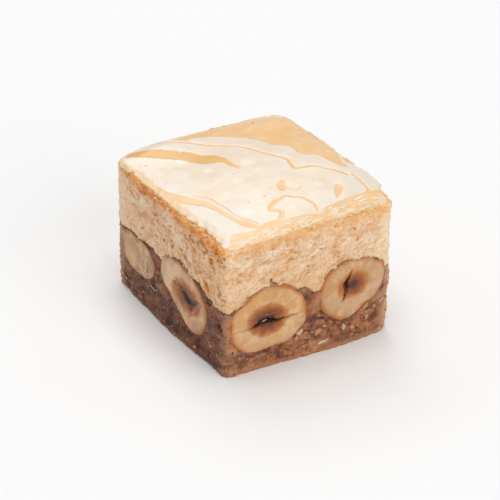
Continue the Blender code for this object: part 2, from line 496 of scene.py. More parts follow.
def coat(tree, shader, colour, roughness, normal=None):
    """Gives a surface its colour and roughness, and its fine relief where it has one."""
    feed(tree, shader.inputs["Base Color"], colour)
    feed(tree, shader.inputs["Roughness"], roughness)
    if normal is not None:
        feed(tree, shader.inputs["Normal"], normal)


def new_group(name, numbers, result):
    """A node group that takes a place and some numbers. Returns it, what comes in and its way out."""
    group = bpy.data.node_groups.new(name, "ShaderNodeTree")
    group.interface.new_socket("Place", in_out="INPUT", socket_type="NodeSocketVector")
    for number in numbers:
        group.interface.new_socket(number, in_out="INPUT", socket_type="NodeSocketFloat")
    group.interface.new_socket(result, in_out="OUTPUT", socket_type="NodeSocketFloat")
    return group, group.nodes.new("NodeGroupInput").outputs, group.nodes.new("NodeGroupOutput").inputs[result]


def from_group(tree, group, *values):
    """What a group makes of these values, which come in the order of its sockets."""
    node = tree.nodes.new("ShaderNodeGroup")
    node.node_tree = group
    for socket, value in zip(node.inputs, values):
        feed(tree, socket, value)
    return node.outputs[0]


# Damp spots, a group that every surface shares: roughness that falls where syrup has soaked in.
damp, given, roughness = new_group("damp spots", ("Spot Size", "Dry", "Wet"), "Roughness")
damp_noise = damp.nodes.new("ShaderNodeTexNoise")
damp_noise.inputs["Detail"].default_value = 2
feed(damp, damp_noise.inputs["Vector"], given["Place"])
feed(damp, damp_noise.inputs["Scale"], worked(damp, "DIVIDE", 1.0, given["Spot Size"]))
feed(damp, roughness, ranged(damp, damp_noise.outputs["Fac"], 0.4, 0.62, given["Dry"], given["Wet"]))


def dampened(tree, place, size, dry, wet):
    return from_group(tree, damp, place, size, dry, wet)


def pit_at(place, seed, size, spread, floor, smallest, wider=0):
    """How far a place is inside the round pits of a dough, from 0 to 1. Each pit has its own size."""
    distances, points = noise.voronoi(place)
    size = size + spread * noise.cell(points[0] * seed) + wider
    return 1 - smooth_step(floor * size, size, distances[0]) if size > smallest else 0


def paste_surface(spot, inside):
    """Soft packed lumps with grains in them, small pits, and a skin-brown rim beside each nut."""
    edge = smooth_step(0.8, 0.0, min(spot.z, seam_height(spot) - spot.z))
    spot = Vector((spot.x * 0.85, spot.y * 0.65, spot.z * 1.15))
    warp = noise.noise_vector(spot * 0.7) * 0.7
    lumps = noise.fractal(spot * 0.55 + warp, 0.7, 2.1, 5)
    distances, points = noise.voronoi((spot + 0.8 * warp) / 1.55)
    joint = smooth_step(0.2, 0.02, distances[1] - distances[0])
    grain = noise.cell(points[0] * 5.3)
    dome = 0.45 - distances[0]
    _, small_points = noise.voronoi((spot + 0.5 * warp) / 0.5 + Vector((3, 5, 7)))
    small_grain = noise.cell(small_points[0] * 3.1)
    fine = noise.noise(spot * 3.4 + warp)
    fissure = 1 - smooth_step(0.0, 0.07, abs(noise.noise(spot * 0.5 + warp + Vector((5, 5, 5)))))
    fissure *= smooth_step(-0.05, 0.3, noise.noise(spot * 0.4))
    pit = pit_at((spot + 0.6 * warp) / 2.0 + Vector((1, 8, 2)), 4.7, 0.11, 0.12, 0.3, 0.03)
    relief = 0.13 * lumps + 0.09 * grain + 0.2 * dome - 0.05 * joint + 0.04 * small_grain + 0.04 * fine
    relief -= 0.3 * pit + 0.14 * fissure
    hollow = min(1, max(0, -0.3 * lumps + 0.2 * joint + pit + 0.7 * fissure))
    tone = min(1, max(0, 0.44 + 0.45 * lumps + 0.24 * grain + 0.12 * small_grain + 0.3 * fine + 0.2 * dome))
    patchy = smooth_step(-0.25, 0.25, noise.noise(spot * 0.8 + Vector((2, 2, 2))))
    beside = hump(inside, 0, 0.45) * patchy
    return relief - 0.15 * edge * edge, hollow, tone, beside


# Cracks and holes in the paste, by side: depth, then a route across and up it with half widths.
PASTE_MARKS = {
    "front": (
        (0.4, (0.8, 5.8, 0.1), (2.3, 5.6, 0.16), (4.3, 4.7, 0.12), (6.3, 3.9, 0.06)),
        (0.3, (2.6, 5.0, 0.03), (3.5, 5.1, 0.1), (4.4, 4.2, 0.05)),
        (0.45, (10.0, 5.0, 0.25), (10.5, 5.0, 0.2)),
        (0.35, (8.1, 2.4, 0.16), (8.5, 2.5, 0.14)),
        (0.35, (-9.2, 3.0, 0.12), (-8.0, 2.8, 0.2), (-7.2, 3.1, 0.1)),
        (0.35, (-4.4, 2.2, 0.15), (-4.0, 2.0, 0.15)),
    ),
    "left": (
        (0.8, (-3.6, 9.6, 0.3), (-3.2, 9.3, 0.3)),
        (0.6, (-4.5, 6.2, 0.22), (-4.0, 6.0, 0.2)),
        (0.5, (-6.6, 5.2, 0.14), (-6.0, 4.9, 0.14), (-4.4, 4.9, 0.05)),
        (0.6, (15.0, 8.0, 0.35), (15.8, 7.7, 0.3)),
        (0.5, (11.2, 11.2, 0.2), (12.3, 10.6, 0.25), (13.0, 10.7, 0.1)),
        (0.35, (-12.8, 2.6, 0.2), (-12.0, 2.8, 0.15)),
        (0.35, (-8.3, 2.0, 0.15), (-7.8, 1.6, 0.15)),
    ),
    "right": (
        (0.4, (-12.0, 4.6, 0.15), (-10.8, 5.0, 0.2), (-9.9, 4.2, 0.1)),
        (0.4, (1.0, 6.1, 0.1), (2.0, 5.4, 0.2), (3.0, 5.6, 0.1)),
        (0.4, (12.9, 3.4, 0.2), (13.7, 3.8, 0.2)),
    ),
    "back": (
        (0.4, (3.6, 5.2, 0.1), (4.8, 4.6, 0.2), (6.0, 4.8, 0.1)),
        (0.5, (-10.9, 7.0, 0.2), (-10.2, 7.3, 0.25)),
        (0.4, (9.5, 8.6, 0.2), (10.3, 8.3, 0.2)),
    ),
}

PASTE_MASKS = ("hollow", "tone", "beside_nut")
paste_skin, paste_wall, paste_ways = new_layer(lambda spot: 0, seam_height, PASTE_MASKS)
paste_layers = [paste_skin.verts.layers.float[name] for name in PASTE_MASKS]
shape_wall(paste_wall, paste_ways, paste_surface, paste_layers, PASTE_MARKS)

PASTE_BROWN = (0.385, 0.140, 0.055, 1)
PASTE_TAN = (0.54, 0.245, 0.110, 1)
PASTE_CREAM = (0.60, 0.30, 0.145, 1)
PASTE_DARK = (0.105, 0.034, 0.022, 1)
PASTE_PURPLE = (0.215, 0.078, 0.044, 1)
SKIN_BROWN = (0.36, 0.105, 0.020, 1)
PASTE_LEFT_SHADE = (0.45, 0.37, 0.31, 1)
THROUGH_PASTE = (0.68, 0.40, 0.23, 1)

LEFT_FACE = (-0.0138, -0.0148)  # x where the left side's look starts, and where it is full
FRONT_FACE = (-0.0163, -0.0171)  # and y for the front

# Light through the corners, a group that the paste, the sponge and the nuts share: how near the
# place is to an upright corner of the block, where light comes through from behind.
through, given, share = new_group("light through the corners", ("Reach",), "Share")
x, y, z = axes_of(through, given["Place"])
from_side = worked(through, "SUBTRACT", (HALF_WIDTH + 0.2) * MM, worked(through, "ABSOLUTE", x))
from_end = worked(through, "SUBTRACT", (HALF_DEPTH + 0.2) * MM, worked(through, "ABSOLUTE", y))
gap = worked(through, "MAXIMUM", from_side, from_end)
near = ranged(through, gap, given["Reach"], 0.0002)
# The corner that is at the front on the left has no lit side behind it, so less comes through.
turned_away = ranged(through, worked(through, "ADD", x, y), -0.025, -0.015, 0.35, 1.0)
feed(through, share, times(through, near, turned_away))


def lit_through(tree, place, reach):
    return from_group(tree, through, place, reach)


paste_material, tree, shader = food_material("nut paste", 0.4, 0.0006, (1.0, 0.75, 0.6))
shader.inputs["Specular IOR Level"].default_value = 0.25
place = place_of(tree)
pressed = tree.nodes.new("ShaderNodeMapping")
feed(tree, pressed.inputs["Vector"], place)
pressed.inputs["Scale"].default_value = (0.85, 0.65, 1.15)
crooked = shifted(tree, pressed.outputs[0], 0.0015, 0.0012)
blots = speckle(tree, crooked, 0.0026, 3.0, 0.55)
bits = speckle(tree, crooked, 0.0009, 3.0, 0.6)
grit = speckle(tree, place, 0.0004, 2.0, 0.5)
tone = mask_of(tree, "tone")
colour = mixed(tree, ranged(tree, blots, 0.40, 0.56), PASTE_PURPLE, PASTE_BROWN)
colour = layered(
    tree, colour,
    (bits, 0.42, 0.32, 0.6, PASTE_DARK),
    (tone, 0.38, 0.1, 0.75, PASTE_DARK),
    (tone, 0.58, 0.9, 0.6, PASTE_TAN),
    (bits, 0.54, 0.7, 0.45, PASTE_TAN),
    (grit, 0.58, 0.75, 0.25, PASTE_TAN),
    (speckle(tree, crooked, 0.0036, 4.0, 0.6), 0.52, 0.66, 0.5, PASTE_CREAM),
    # Painted shade: the pits, cracks and low places that the hollow mask marks are darkened.
    (mask_of(tree, "hollow"), 0.3, 1.0, 0.8, PASTE_DARK),
    (mask_of(tree, "beside_nut"), 0.3, 1.0, 0.6, SKIN_BROWN))
# Painted shade: the left side is darker, most towards the bottom, least where light comes through.
x, y, z = axes_of(tree, place)
left = ranged(tree, x, *LEFT_FACE)
low = ranged(tree, z, 0.009, 0.001, 0.3, 1.0)
corner = lit_through(tree, place, 0.0034)
paste_left_shade = times(tree, left, times(tree, low, worked(tree, "SUBTRACT", 1.0, corner)))
colour = mixed(tree, paste_left_shade, colour, PASTE_LEFT_SHADE, "MULTIPLY")
uneven = ranged(tree, blots, 0.36, 0.6, 0.45, 0.95)
colour = mixed(tree, times(tree, corner, uneven), colour, THROUGH_PASTE)
# The foot is painted a paler tan, more at the right of the front and less on the left.
foot = ranged(tree, z, 0.0011, 0.0003, 0.0, 0.75)
foot_right = times(tree, ranged(tree, x, 0.004, 0.011), ranged(tree, z, 0.0014, 0.0004, 0.0, 0.8))
foot = worked(tree, "MAXIMUM", foot, foot_right)
colour = mixed(tree, times(tree, foot, ranged(tree, left, 0.0, 1.0, 1.0, 0.3)), colour, PASTE_TAN)
fine_relief = bumped(tree, speckle(tree, place, 0.0002), 0.00005, 0.7)
relief = bumped(tree, grit, 0.0001, 0.8, fine_relief)
coat(tree, shader, colour, dampened(tree, place, 0.0008, 0.55, 0.22), relief)
paste_tree = BVHTree.FromBMesh(paste_skin)
finish_piece(paste_skin, "paste_base", paste_material, "nut_paste")

# ---------------------------------------------------------------------------------------------
# The sponge. A pale batter baked over the nuts: a soft open crumb torn a little by the knife, full
# of small pores, soaked with syrup and browned just under the top, where its edge is rounded.

CROWN_EDGE = 21.7  # height of the sponge's top at its rim
CROWN_TILT = 0.45  # how much it rises to the right
CROWN_SWELL_ALONG_X = 0.65  # how much it swells between its sides, between its ends, and more at the right
CROWN_SWELL_ALONG_Y = 0.95
CROWN_SWELL_RIGHT = 0.65


def crown_height(spot):
    """The height of the sponge's top, which swells to the middle and the right."""
    u = spot.x / HALF_WIDTH
    v = spot.y / HALF_DEPTH
    swell_x = max(0, 1 - u * u)
    swell_y = max(0, 1 - v * v)
    back = smooth_step(8, 16.5, spot.y)
    height = (
        CROWN_EDGE
        + CROWN_TILT * u
        + CROWN_SWELL_ALONG_X * swell_x
        + CROWN_SWELL_ALONG_Y * swell_y
        + CROWN_SWELL_RIGHT * u * swell_y
    )
    height += back * (0.4 + 0.35 * hump(spot.x, -8.5, 4) - 0.2 * smooth_step(-4, 3, spot.x))
    height += 0.35 * smooth_step(5, 13, spot.x) * hump(spot.y, 13, 3)
    return height - 0.2 * smooth_step(9, 14, spot.x) * hump(spot.y, -3, 5)


def crown_rounding(spot):
    """How far the top edge is rounded inwards and downwards: most on the left."""
    left, front = at_left(spot, past=0.2), at_front(spot, past=0.2)
    seed = Vector((spot.x, spot.y, 9))
    uneven = noise.noise(seed * 0.45) + 0.5 * noise.noise(seed * 1.3)
    return 0.75 + 0.2 * left - 0.15 * front + 0.3 * uneven, 0.5 + 0.15 * left - 0.15 * front + 0.2 * uneven


def crumb_surface(spot, inside):
    """Lumps of crumb, the creases between them that the knife dragged open, and pores."""
    warp = noise.noise_vector(spot * 0.4) * 1.1 + noise.noise_vector(spot * 1.3) * 0.35
    bent = spot + warp
    dragged = Vector((
        0.75 * bent.x + 0.3 * bent.z, 0.75 * bent.y - 0.2 * bent.z, 1.35 * bent.z - 0.35 * bent.x))
    lumps = noise.fractal(dragged * 0.42, 0.45, 2.1, 5)
    crease = 1 - smooth_step(0.0, 0.13, abs(noise.noise(dragged * 0.62)))
    small_crease = 1 - smooth_step(0.0, 0.16, abs(noise.noise(dragged * 1.5 + Vector((8, 1, 6)))))
    fine = noise.noise(bent * 4.2)
    open_here = smooth_step(-0.25, 0.3, noise.noise(spot * 0.3 + Vector((1, 7, 3))))
    rounds, _ = noise.voronoi(dragged / 1.7 + Vector((3, 3, 8)))
    border = smooth_step(0.3, 0.02, rounds[1] - rounds[0])
    border *= smooth_step(-0.15, 0.3, noise.noise(spot * 0.55 + Vector((4, 2, 2))))
    left, front = at_left(spot, 2), at_front(spot, 1.5)
    stretched = Vector((spot.x, spot.y * 0.8, spot.z * 1.25)) + 0.6 * warp
    wider = 0.1 * left * (1 + smooth_step(0, -9, spot.y))
    pore = pit_at(stretched / 1.45 + Vector((11, 2, 4)), 4.1, 0.12, 0.16, 0.1, 0.04, wider)
    creases = (0.8 * crease + 0.5 * small_crease) * (0.25 + 0.75 * open_here)
    tiny_pore = pit_at(stretched / 0.85 + Vector((2, 9, 5)), 3.3, 0.16, 0.13, 0.2, 0.07)
    relief = 0.13 * lumps + 0.08 * fine - 0.085 * creases - 0.34 * pore - 0.04 * border - 0.12 * tiny_pore
    hollow = 0.24 - 0.48 * lumps + 0.36 * creases + 0.9 * pore + 0.3 * border - 0.38 * fine + 0.5 * tiny_pore
    hollow = max(0, min(1, hollow))
    under_top = crown_height(spot) - spot.z
    band = 1.0 + 0.1 * left + 0.75 * front * smooth_step(-9, 1, spot.x)
    band += 0.9 * noise.noise(spot * 0.55) + 0.6 * noise.noise(spot * 1.7)
    crust = smooth_step(1.5 * band + 0.3, 0.2 * band, under_top) if band > 0.1 else 0
    lit_corner = smooth_step(-6, -13, spot.x) * front
    right = smooth_step(HALF_WIDTH - 1.5, HALF_WIDTH, spot.x)
    back = smooth_step(HALF_DEPTH - 1.5, HALF_DEPTH, spot.y)
    patch = noise.noise(Vector((spot.x * 0.7, spot.y * 0.7, spot.z * 1.5))) + 0.6 * noise.noise(spot * 2.4)
    crust *= (0.55 + 0.45 * smooth_step(-0.3, 0.25, patch)) * (1 - 0.6 * lit_corner)
    crust *= 1 - 0.5 * max(right, back) * max(front, left)
    # Painted shade: near the front left corner, and under the top at the front right, the hollows take the
    # crust's colour.
    pore_shade = 0.75 * smooth_step(0.3, 0.75, hollow)
    near_corner = left * smooth_step(2, -9, spot.y) * smooth_step(8, 1, under_top)
    near_right = front * smooth_step(-6, 2, spot.x) * smooth_step(4.5, 1, under_top)
    crust = max(crust, pore_shade * max(near_corner, near_right))
    near_top = smooth_step(1.2, 0.1, under_top)
    ragged = noise.fractal(spot * 1.6, 0.5, 2.1, 3)
    relief = relief * (1 - 0.3 * near_top) + 0.16 * ragged * near_top
    hollow = max(0, min(1, hollow - 0.6 * ragged * near_top))
    upper = smooth_step(0.3, 0.05, under_top) * (1 - 0.8 * front * smooth_step(-9, 1, spot.x))
    over_seam = spot.z - seam_height(spot)
    seam = smooth_step(0.9, 0.0, over_seam)
    patchy = smooth_step(-0.25, 0.25, noise.noise(spot * 0.8 + Vector((2, 2, 2))))
    beside = hump(inside, 0, 0.35) * (0.1 + 0.9 * patchy)
    return relief - 0.12 * seam * seam, hollow, crust, upper, max(beside, 0.4 * seam * seam)


# Larger holes in the crumb, by side: depth, then a route across and up it with half widths.
SPONGE_MARKS = {
    "front": (
        (0.28, (-4.3, 17.2, 0.12), (-3.7, 17.5, 0.22), (-3.0, 17.4, 0.12)),
        (0.22, (-3.1, 18.7, 0.12), (-2.5, 18.4, 0.14)),
        (0.22, (1.2, 18.0, 0.08), (1.8, 17.8, 0.14), (2.3, 17.9, 0.08)),
        (0.28, (-13.2, 16.1, 0.1), (-12.7, 16.0, 0.16), (-12.0, 16.2, 0.1)),
        (0.22, (6.3, 19.6, 0.1), (7.2, 19.8, 0.16), (8.0, 19.5, 0.1)),
        (0.28, (-7.0, 15.0, 0.22), (-6.9, 14.5, 0.25)),
    ),
    "left": (
        (0.28, (-8.6, 20.4, 0.12), (-8.0, 20.3, 0.2), (-7.2, 20.5, 0.12)),
        (0.28, (-4.6, 18.4, 0.15), (-3.8, 18.2, 0.25), (-3.0, 18.4, 0.15)),
        (0.28, (1.0, 16.3, 0.15), (1.7, 16.0, 0.22), (2.0, 15.6, 0.12)),
        (0.28, (3.5, 16.1, 0.12), (4.2, 16.0, 0.16), (4.7, 16.2, 0.1)),
        (0.39, (9.5, 20.0, 0.2), (10.4, 20.3, 0.3), (11.2, 20.0, 0.2), (12.2, 19.2, 0.25)),
        (0.28, (7.0, 19.2, 0.15), (7.8, 19.5, 0.2), (8.6, 19.3, 0.15)),
        (0.33, (13.2, 18.3, 0.2), (14.0, 17.8, 0.25), (14.4, 17.0, 0.2)),
        (0.33, (14.4, 20.3, 0.2), (15.3, 20.0, 0.3), (16.2, 19.6, 0.2)),
        (0.44, (11.3, 13.9, 0.3), (12.0, 13.3, 0.4), (12.3, 12.8, 0.25)),
        (0.44, (15.0, 14.8, 0.3), (15.5, 14.0, 0.4), (15.3, 13.3, 0.3)),
        (0.28, (-12.4, 18.5, 0.2), (-11.6, 18.4, 0.25), (-10.8, 18.2, 0.15)),
        (0.28, (-7.6, 14.1, 0.15), (-8.2, 13.8, 0.2)),
        (0.22, (-1.0, 19.0, 0.12), (-0.2, 19.2, 0.15)),
    ),
    "right": (
        (0.28, (-9.0, 18.9, 0.15), (-8.2, 18.6, 0.22), (-7.5, 18.8, 0.12)),
        (0.28, (1.0, 17.2, 0.15), (1.8, 17.0, 0.22)),
        (0.28, (6.2, 19.4, 0.15), (7.0, 19.2, 0.2), (7.8, 19.5, 0.12)),
        (0.33, (12.0, 16.4, 0.2), (12.8, 16.0, 0.25)),
    ),
    "back": (
        (0.28, (-10.0, 18.7, 0.15), (-9.2, 18.5, 0.2), (-8.6, 18.8, 0.12)),
        (0.28, (2.1, 19.3, 0.15), (3.0, 19.0, 0.22)),
        (0.33, (8.0, 15.8, 0.2), (8.8, 15.4, 0.25), (9.4, 15.6, 0.12)),
    ),
}

SPONGE_MASKS = ("hollow", "crust", "upper", "beside_nut")
sponge_skin, sponge_wall, sponge_ways = new_layer(seam_height, crown_height, SPONGE_MASKS, crown_rounding)
sponge_layers = [sponge_skin.verts.layers.float[name] for name in SPONGE_MASKS]
shape_wall(sponge_wall, sponge_ways, crumb_surface, sponge_layers, SPONGE_MARKS)

CRUMB_WHITE = (0.96, 0.745, 0.525, 1)
CRUMB_YELLOW = (0.92, 0.655, 0.42, 1)
SPONGE_PALE = (0.845, 0.565, 0.345, 1)
SPONGE_PINK = (0.815, 0.505, 0.295, 1)
SPONGE_TAN = (0.76, 0.385, 0.125, 1)
SPONGE_DEEP = (0.52, 0.21, 0.045, 1)
CRUST_PALE = (0.92, 0.62, 0.31, 1)
CRUST_LIT_GOLD = (0.98, 0.50, 0.155, 1)
CRUST_ORANGE = (0.84, 0.40, 0.09, 1)
CRUST_DEEP = (0.64, 0.225, 0.025, 1)
THROUGH_CRUMB = (1.0, 0.75, 0.50, 1)
PAINTED_GLOW_WARM = (1.0, 0.65, 0.385, 1)
RIM_BROWN = (0.50, 0.18, 0.045, 1)
CORNER_TINT = (1.0, 0.915, 0.76, 1)
SPONGE_LEFT_SHADE = (1.0, 0.92, 0.88, 1)
CRUST_LEFT_SHADE = (1.0, 0.78, 0.24, 1)
SPONGE_ORANGE = (0.72, 0.34, 0.085, 1)

sponge_material, tree, shader = food_material("sponge crumb", 0.7, 0.0008, (1.0, 0.9, 0.78))
place = place_of(tree)
hollow_shade = mask_of(tree, "hollow")
# Painted shade: where the crumb is hollow, in pores, creases and between lumps, it is coloured tan to deep
# orange, and palest on the lumps.
colour = mixed(tree, ranged(tree, hollow_shade, 0.1, 0.4), CRUMB_WHITE, SPONGE_PALE)
colour = layered(
    tree, colour,
    (speckle(tree, place, 0.005, 4.0), 0.42, 0.62, 0.6, SPONGE_PINK),
    (speckle(tree, place, 0.0009, 5.0, 0.7), 0.5, 0.64, 0.45, SPONGE_TAN),
    (hollow_shade, 0.4, 0.8, 0.8, SPONGE_TAN),
    (hollow_shade, 0.75, 1.0, 0.7, SPONGE_DEEP))
x, y, z = axes_of(tree, place)
left = ranged(tree, x, *LEFT_FACE)
lower = times(tree, ranged(tree, z, 0.0185, 0.014), ranged(tree, hollow_shade, 0.6, 0.2, 0.0, 0.55))
colour = mixed(tree, lower, colour, CRUMB_YELLOW)
# Painted shade: the left side, which is in shade, is tinted darker and pinker.
colour = mixed(tree, times(tree, left, 0.8), colour, SPONGE_LEFT_SHADE, "MULTIPLY")
foot = times(tree, ranged(tree, y, *FRONT_FACE), ranged(tree, z, 0.0142, 0.012, 0.0, 0.5))
colour = mixed(tree, foot, colour, SPONGE_TAN)
near_corner = times(tree, left, ranged(tree, y, -0.006, -0.014))
colour = mixed(tree, near_corner, colour, CORNER_TINT, "MULTIPLY")
# Painted shade: the pores near the front of the left side are a deeper orange.
pores = times(tree, near_corner, ranged(tree, hollow_shade, 0.28, 0.6, 0.0, 0.85))
colour = mixed(tree, pores, colour, SPONGE_ORANGE)
colour = mixed(tree, times(tree, lit_through(tree, place, 0.0052), 0.85), colour, THROUGH_CRUMB)
# Painted glow: light that comes through the crumb at the back of the left side, lighter and warmer.
back_edge_glow = times(tree, left, ranged(tree, y, 0.009, 0.0165, 0.0, 0.75))
colour = mixed(tree, back_edge_glow, colour, PAINTED_GLOW_WARM)
colour = layered(tree, colour, (mask_of(tree, "upper"), 0.0, 1.0, 0.5, CRUST_PALE))
browned = mixed(tree, ranged(tree, speckle(tree, place, 0.0014, 4.0), 0.46, 0.6), CRUST_ORANGE, CRUST_DEEP)
# Painted shade and light: the crust is deeper in its hollows, and a paler gold on the lit front.
browned = layered(
    tree, browned,
    (hollow_shade, 0.45, 0.8, 0.8, CRUST_DEEP),
    (y, *FRONT_FACE, 0.8, CRUST_LIT_GOLD))
# Painted shade: on the left side, which is in shade, the crust is deeper and more saturated.
browned = mixed(tree, left, browned, CRUST_LEFT_SHADE, "MULTIPLY")
crust_here = times(tree, mask_of(tree, "crust"), 0.92)
crust_left = times(tree, left, ranged(tree, mask_of(tree, "crust"), 0.18, 0.75, 0.0, 0.92))
colour = mixed(tree, worked(tree, "MAXIMUM", crust_here, crust_left), colour, browned)
colour = layered(tree, colour, (mask_of(tree, "beside_nut"), 0.3, 1.0, 0.7, RIM_BROWN))
fine_relief = bumped(tree, speckle(tree, place, 0.00025), 0.0001, 0.8)
relief = bumped(tree, speckle(tree, place, 0.0007, 4.0, 0.6), 0.00026, 0.8, fine_relief)
coat(tree, shader, colour, dampened(tree, place, 0.0006, 0.6, 0.22), relief)
sponge_tree = BVHTree.FromBMesh(sponge_skin)
finish_piece(sponge_skin, "sponge_crumb", sponge_material, "sponge")

# ---------------------------------------------------------------------------------------------
# The filo sheet. Pastry rolled thin as paper and laid over the sponge: where syrup holds it down it
# is clear and shows amber, and where air is under it, it is cream-white. It is glazed all over.

SHEET_CELLS = (192, 222)
SHEET_LIFT = 0.36  # its upper face over the sponge, in the middle and at its rim
RIM_LIFT = 0.05
# The rings that turn the rim under and close the sheet from below: share of the plan, height.
UNDER_RINGS = ((1.005, -0.02), (1.006, -0.12), (0.995, -0.25), (0.97, -0.2), (0.8, -0.1), (0.3, -0.1))
SHEET_MASKS = ("amber", "seam", "white", "air", "deep")

# How far its edge stands out past the sides, along each of them: place along the side, reach.
SHEET_EDGES = {
    "left": (
        (-18, -0.8), (-15, -0.9), (-12, -1.3), (-10, -1.4), (-8, -1.2), (-5, -0.85), (-2, -0.7), (3, -0.7),
        (8, -0.6), (11, -0.45), (14, -0.15), (16, 0.05), (18, 0.0),
    ),
    "right": (
        (-18, -0.35), (-15, -0.45), (-13.3, -0.2), (-12.2, 0.65), (-10, 0.6), (-8, 0.55), (-6.7, 0.45),
        (-6.3, 0.0), (-5, -0.4), (-2, -0.15), (0, 0.0), (3, -0.3), (5, -0.5), (8, -0.3), (12, -0.2),
        (18, -0.3),
    ),
    "front": (
        (-15, -0.45), (-10, -0.4), (-5, -0.3), (0, -0.4), (5, -0.3), (8, -0.4), (15, -0.35),
    ),
    "back": (
        (-15, -0.9), (-13.6, -0.3), (-12, 0.2), (-8, 0.3), (-5, 0.15), (-2, -0.1), (2, -0.45), (4, -0.1),
        (7, -0.3), (10, -0.1), (13, -0.4), (15, -0.4),
    ),
}

# Amber runs, each a route of places with half its width there: x, y, half width.
AMBER_RUNS = (
    ((-14.0, 5.5, 0.15), (-13.6, 3.0, 0.4), (-13.1, 0.8, 0.7), (-12.3, -1.0, 0.85), (-11.5, -2.6, 0.7),
     (-10.5, -4.2, 0.55), (-9.9, -6.6, 0.42), (-9.5, -8.8, 0.36), (-9.0, -11.1, 0.36), (-8.4, -12.3, 0.7),
     (-8.0, -13.3, 0.5), (-7.2, -14.6, 0.45)),
    ((-7.1, -14.6, 0.35), (-5.6, -14.4, 0.4), (-3.6, -14.2, 0.38), (-2.8, -13.5, 0.38), (-2.3, -12.5, 0.35),
     (-2.8, -11.9, 0.3), (-3.4, -11.5, 0.38), (-3.1, -10.6, 0.4), (-2.0, -9.9, 0.38), (-0.6, -9.4, 0.3),
     (0.5, -9.2, 0.24), (1.1, -10.0, 0.2), (2.2, -10.8, 0.2), (2.7, -11.9, 0.2), (3.0, -13.3, 0.22),
     (2.5, -15.0, 0.2)),
    ((0.9, -7.6, 0.3), (1.3, -6.4, 0.55), (2.4, -5.3, 0.25)),
    ((6.9, -13.5, 0.15), (7.8, -12.4, 0.55), (8.7, -11.3, 0.65), (9.1, -10.6, 0.35)),
    ((12.6, -8.6, 0.1), (12.6, -10.5, 0.22), (12.6, -12.2, 0.18), (12.3, -14.0, 0.2)),
)
# Thin seams where the syrup has run in a line, and darkened.
SEAM_LINES = (
    ((-9.0, 17.4, 0.1), (-5.6, 15.6, 0.18), (-3.6, 14.2, 0.24), (-1.1, 11.4, 0.2), (2.5, 8.1, 0.2),
     (4.4, 4.2, 0.2), (6.2, 0.3, 0.22), (6.1, -1.1, 0.24), (5.9, -2.9, 0.26), (6.4, -3.3, 0.22),
     (8.7, -4.0, 0.2), (10.7, -6.4, 0.2), (11.7, -8.0, 0.3), (11.9, -8.6, 0.2)),
    ((-10.6, -1.0, 0.05), (-9.4, -2.6, 0.1), (-8.9, -5.0, 0.07), (-8.6, -7.2, 0.1), (-8.4, -10.0, 0.07),
     (-7.5, -11.7, 0.12), (-6.7, -13.6, 0.08)),
)
# Amber fields, each a closed outline: a leaf, the back right of the sheet, the strip along the front.
AMBER_FIELDS = (
    ((-13.4, 16.6), (-12.8, 15.6), (-11.6, 14.2), (-9.6, 12.3), (-8.0, 10.8), (-6.9, 9.8), (-5.6, 7.4),
     (-5.0, 6.6), (-3.7, 5.8), (-2.4, 5.2), (-1.9, 3.4), (-1.2, 2.2), (-0.9, 2.4), (-1.2, 4.2), (-1.4, 6.2),
     (-1.7, 7.4), (-2.6, 8.5), (-3.7, 9.4), (-4.6, 10.8), (-6.1, 12.5), (-7.8, 13.9), (-10.4, 15.9),
     (-12.0, 16.8)),
    ((-6.5, 19), (-5.2, 17.4), (-4.2, 15.6), (-3.2, 14.7), (-2.4, 15.1), (0.0, 14.2), (2.2, 12.7),
     (4.4, 10.6), (5.5, 9.2), (6.4, 7.5), (6.9, 5.8), (7.9, 4.7), (8.9, 3.4), (8.9, 1.1), (10.0, -0.6),
     (11.1, -1.4), (11.6, -3.1), (12.3, -5.6), (13.0, -6.7), (13.5, -5.5), (13.7, -4.0), (14.6, -2.0),
     (17, -1), (17, 19)),
    ((-17, -16.4), (-13.5, -15.8), (-12.4, -14.8), (-11.9, -14.1), (-10.5, -14.1), (-9.0, -14.6),
     (-7.4, -14.9), (-4.5, -14.8), (-1.5, -14.9), (0.6, -15.3), (2.4, -15.8), (3.6, -15.2), (6.0, -14.6),
     (8.6, -14.2), (11.0, -14.0), (13.2, -13.8), (17, -13.6), (17, -19), (-17, -19)),
)
WHITE_RUNS = (
    ((-12.8, -2.8, 0.2), (-12.4, -4.5, 0.7), (-11.7, -8.0, 1.25), (-11.3, -11.0, 1.25), (-10.5, -13.3, 0.7)),
    ((11.0, -9.5, 0.6), (11.2, -11.5, 0.9), (11.1, -13.0, 0.8)),
    ((13.6, -8.0, 0.4), (14.2, -11.0, 0.7), (13.8, -13.0, 0.4)),
    ((-6.1, 12.4, 0.25), (-5.8, 11.5, 0.3)),
    ((-13.3, -13.8, 0.4), (-12.4, -14.9, 0.45), (-11.6, -15.3, 0.3)),
    ((-12.5, 17.0, 0.4), (-9.0, 16.4, 0.5), (-6.0, 14.4, 0.35), (-3.5, 11.8, 0.4), (-1.0, 9.0, 0.3)),
)
# Small round air spots, paler than the rest: x, y, radius.
AIR_SPOTS = (
    (-7.2, 9.0, 1.1), (-9.0, 5.0, 1.0), (-5.5, 4.3, 0.7), (0.7, 2.5, 1.1), (3.6, 1.4, 0.6),
    (-6.8, -10.0, 0.9), (-6.5, -3.6, 0.5), (-0.4, -12.5, 0.6), (12.3, 7.5, 0.8), (-6.0, 12.0, 0.45),
    (5.7, 14.2, 0.6), (12.2, 0.5, 0.8), (-11.8, 8.2, 0.6), (2.0, 5.4, 0.5), (6.3, -9.0, 0.7),
    (-3.4, -1.6, 0.8), (13.0, 2.8, 0.5), (10.6, 11.0, 0.4),
)
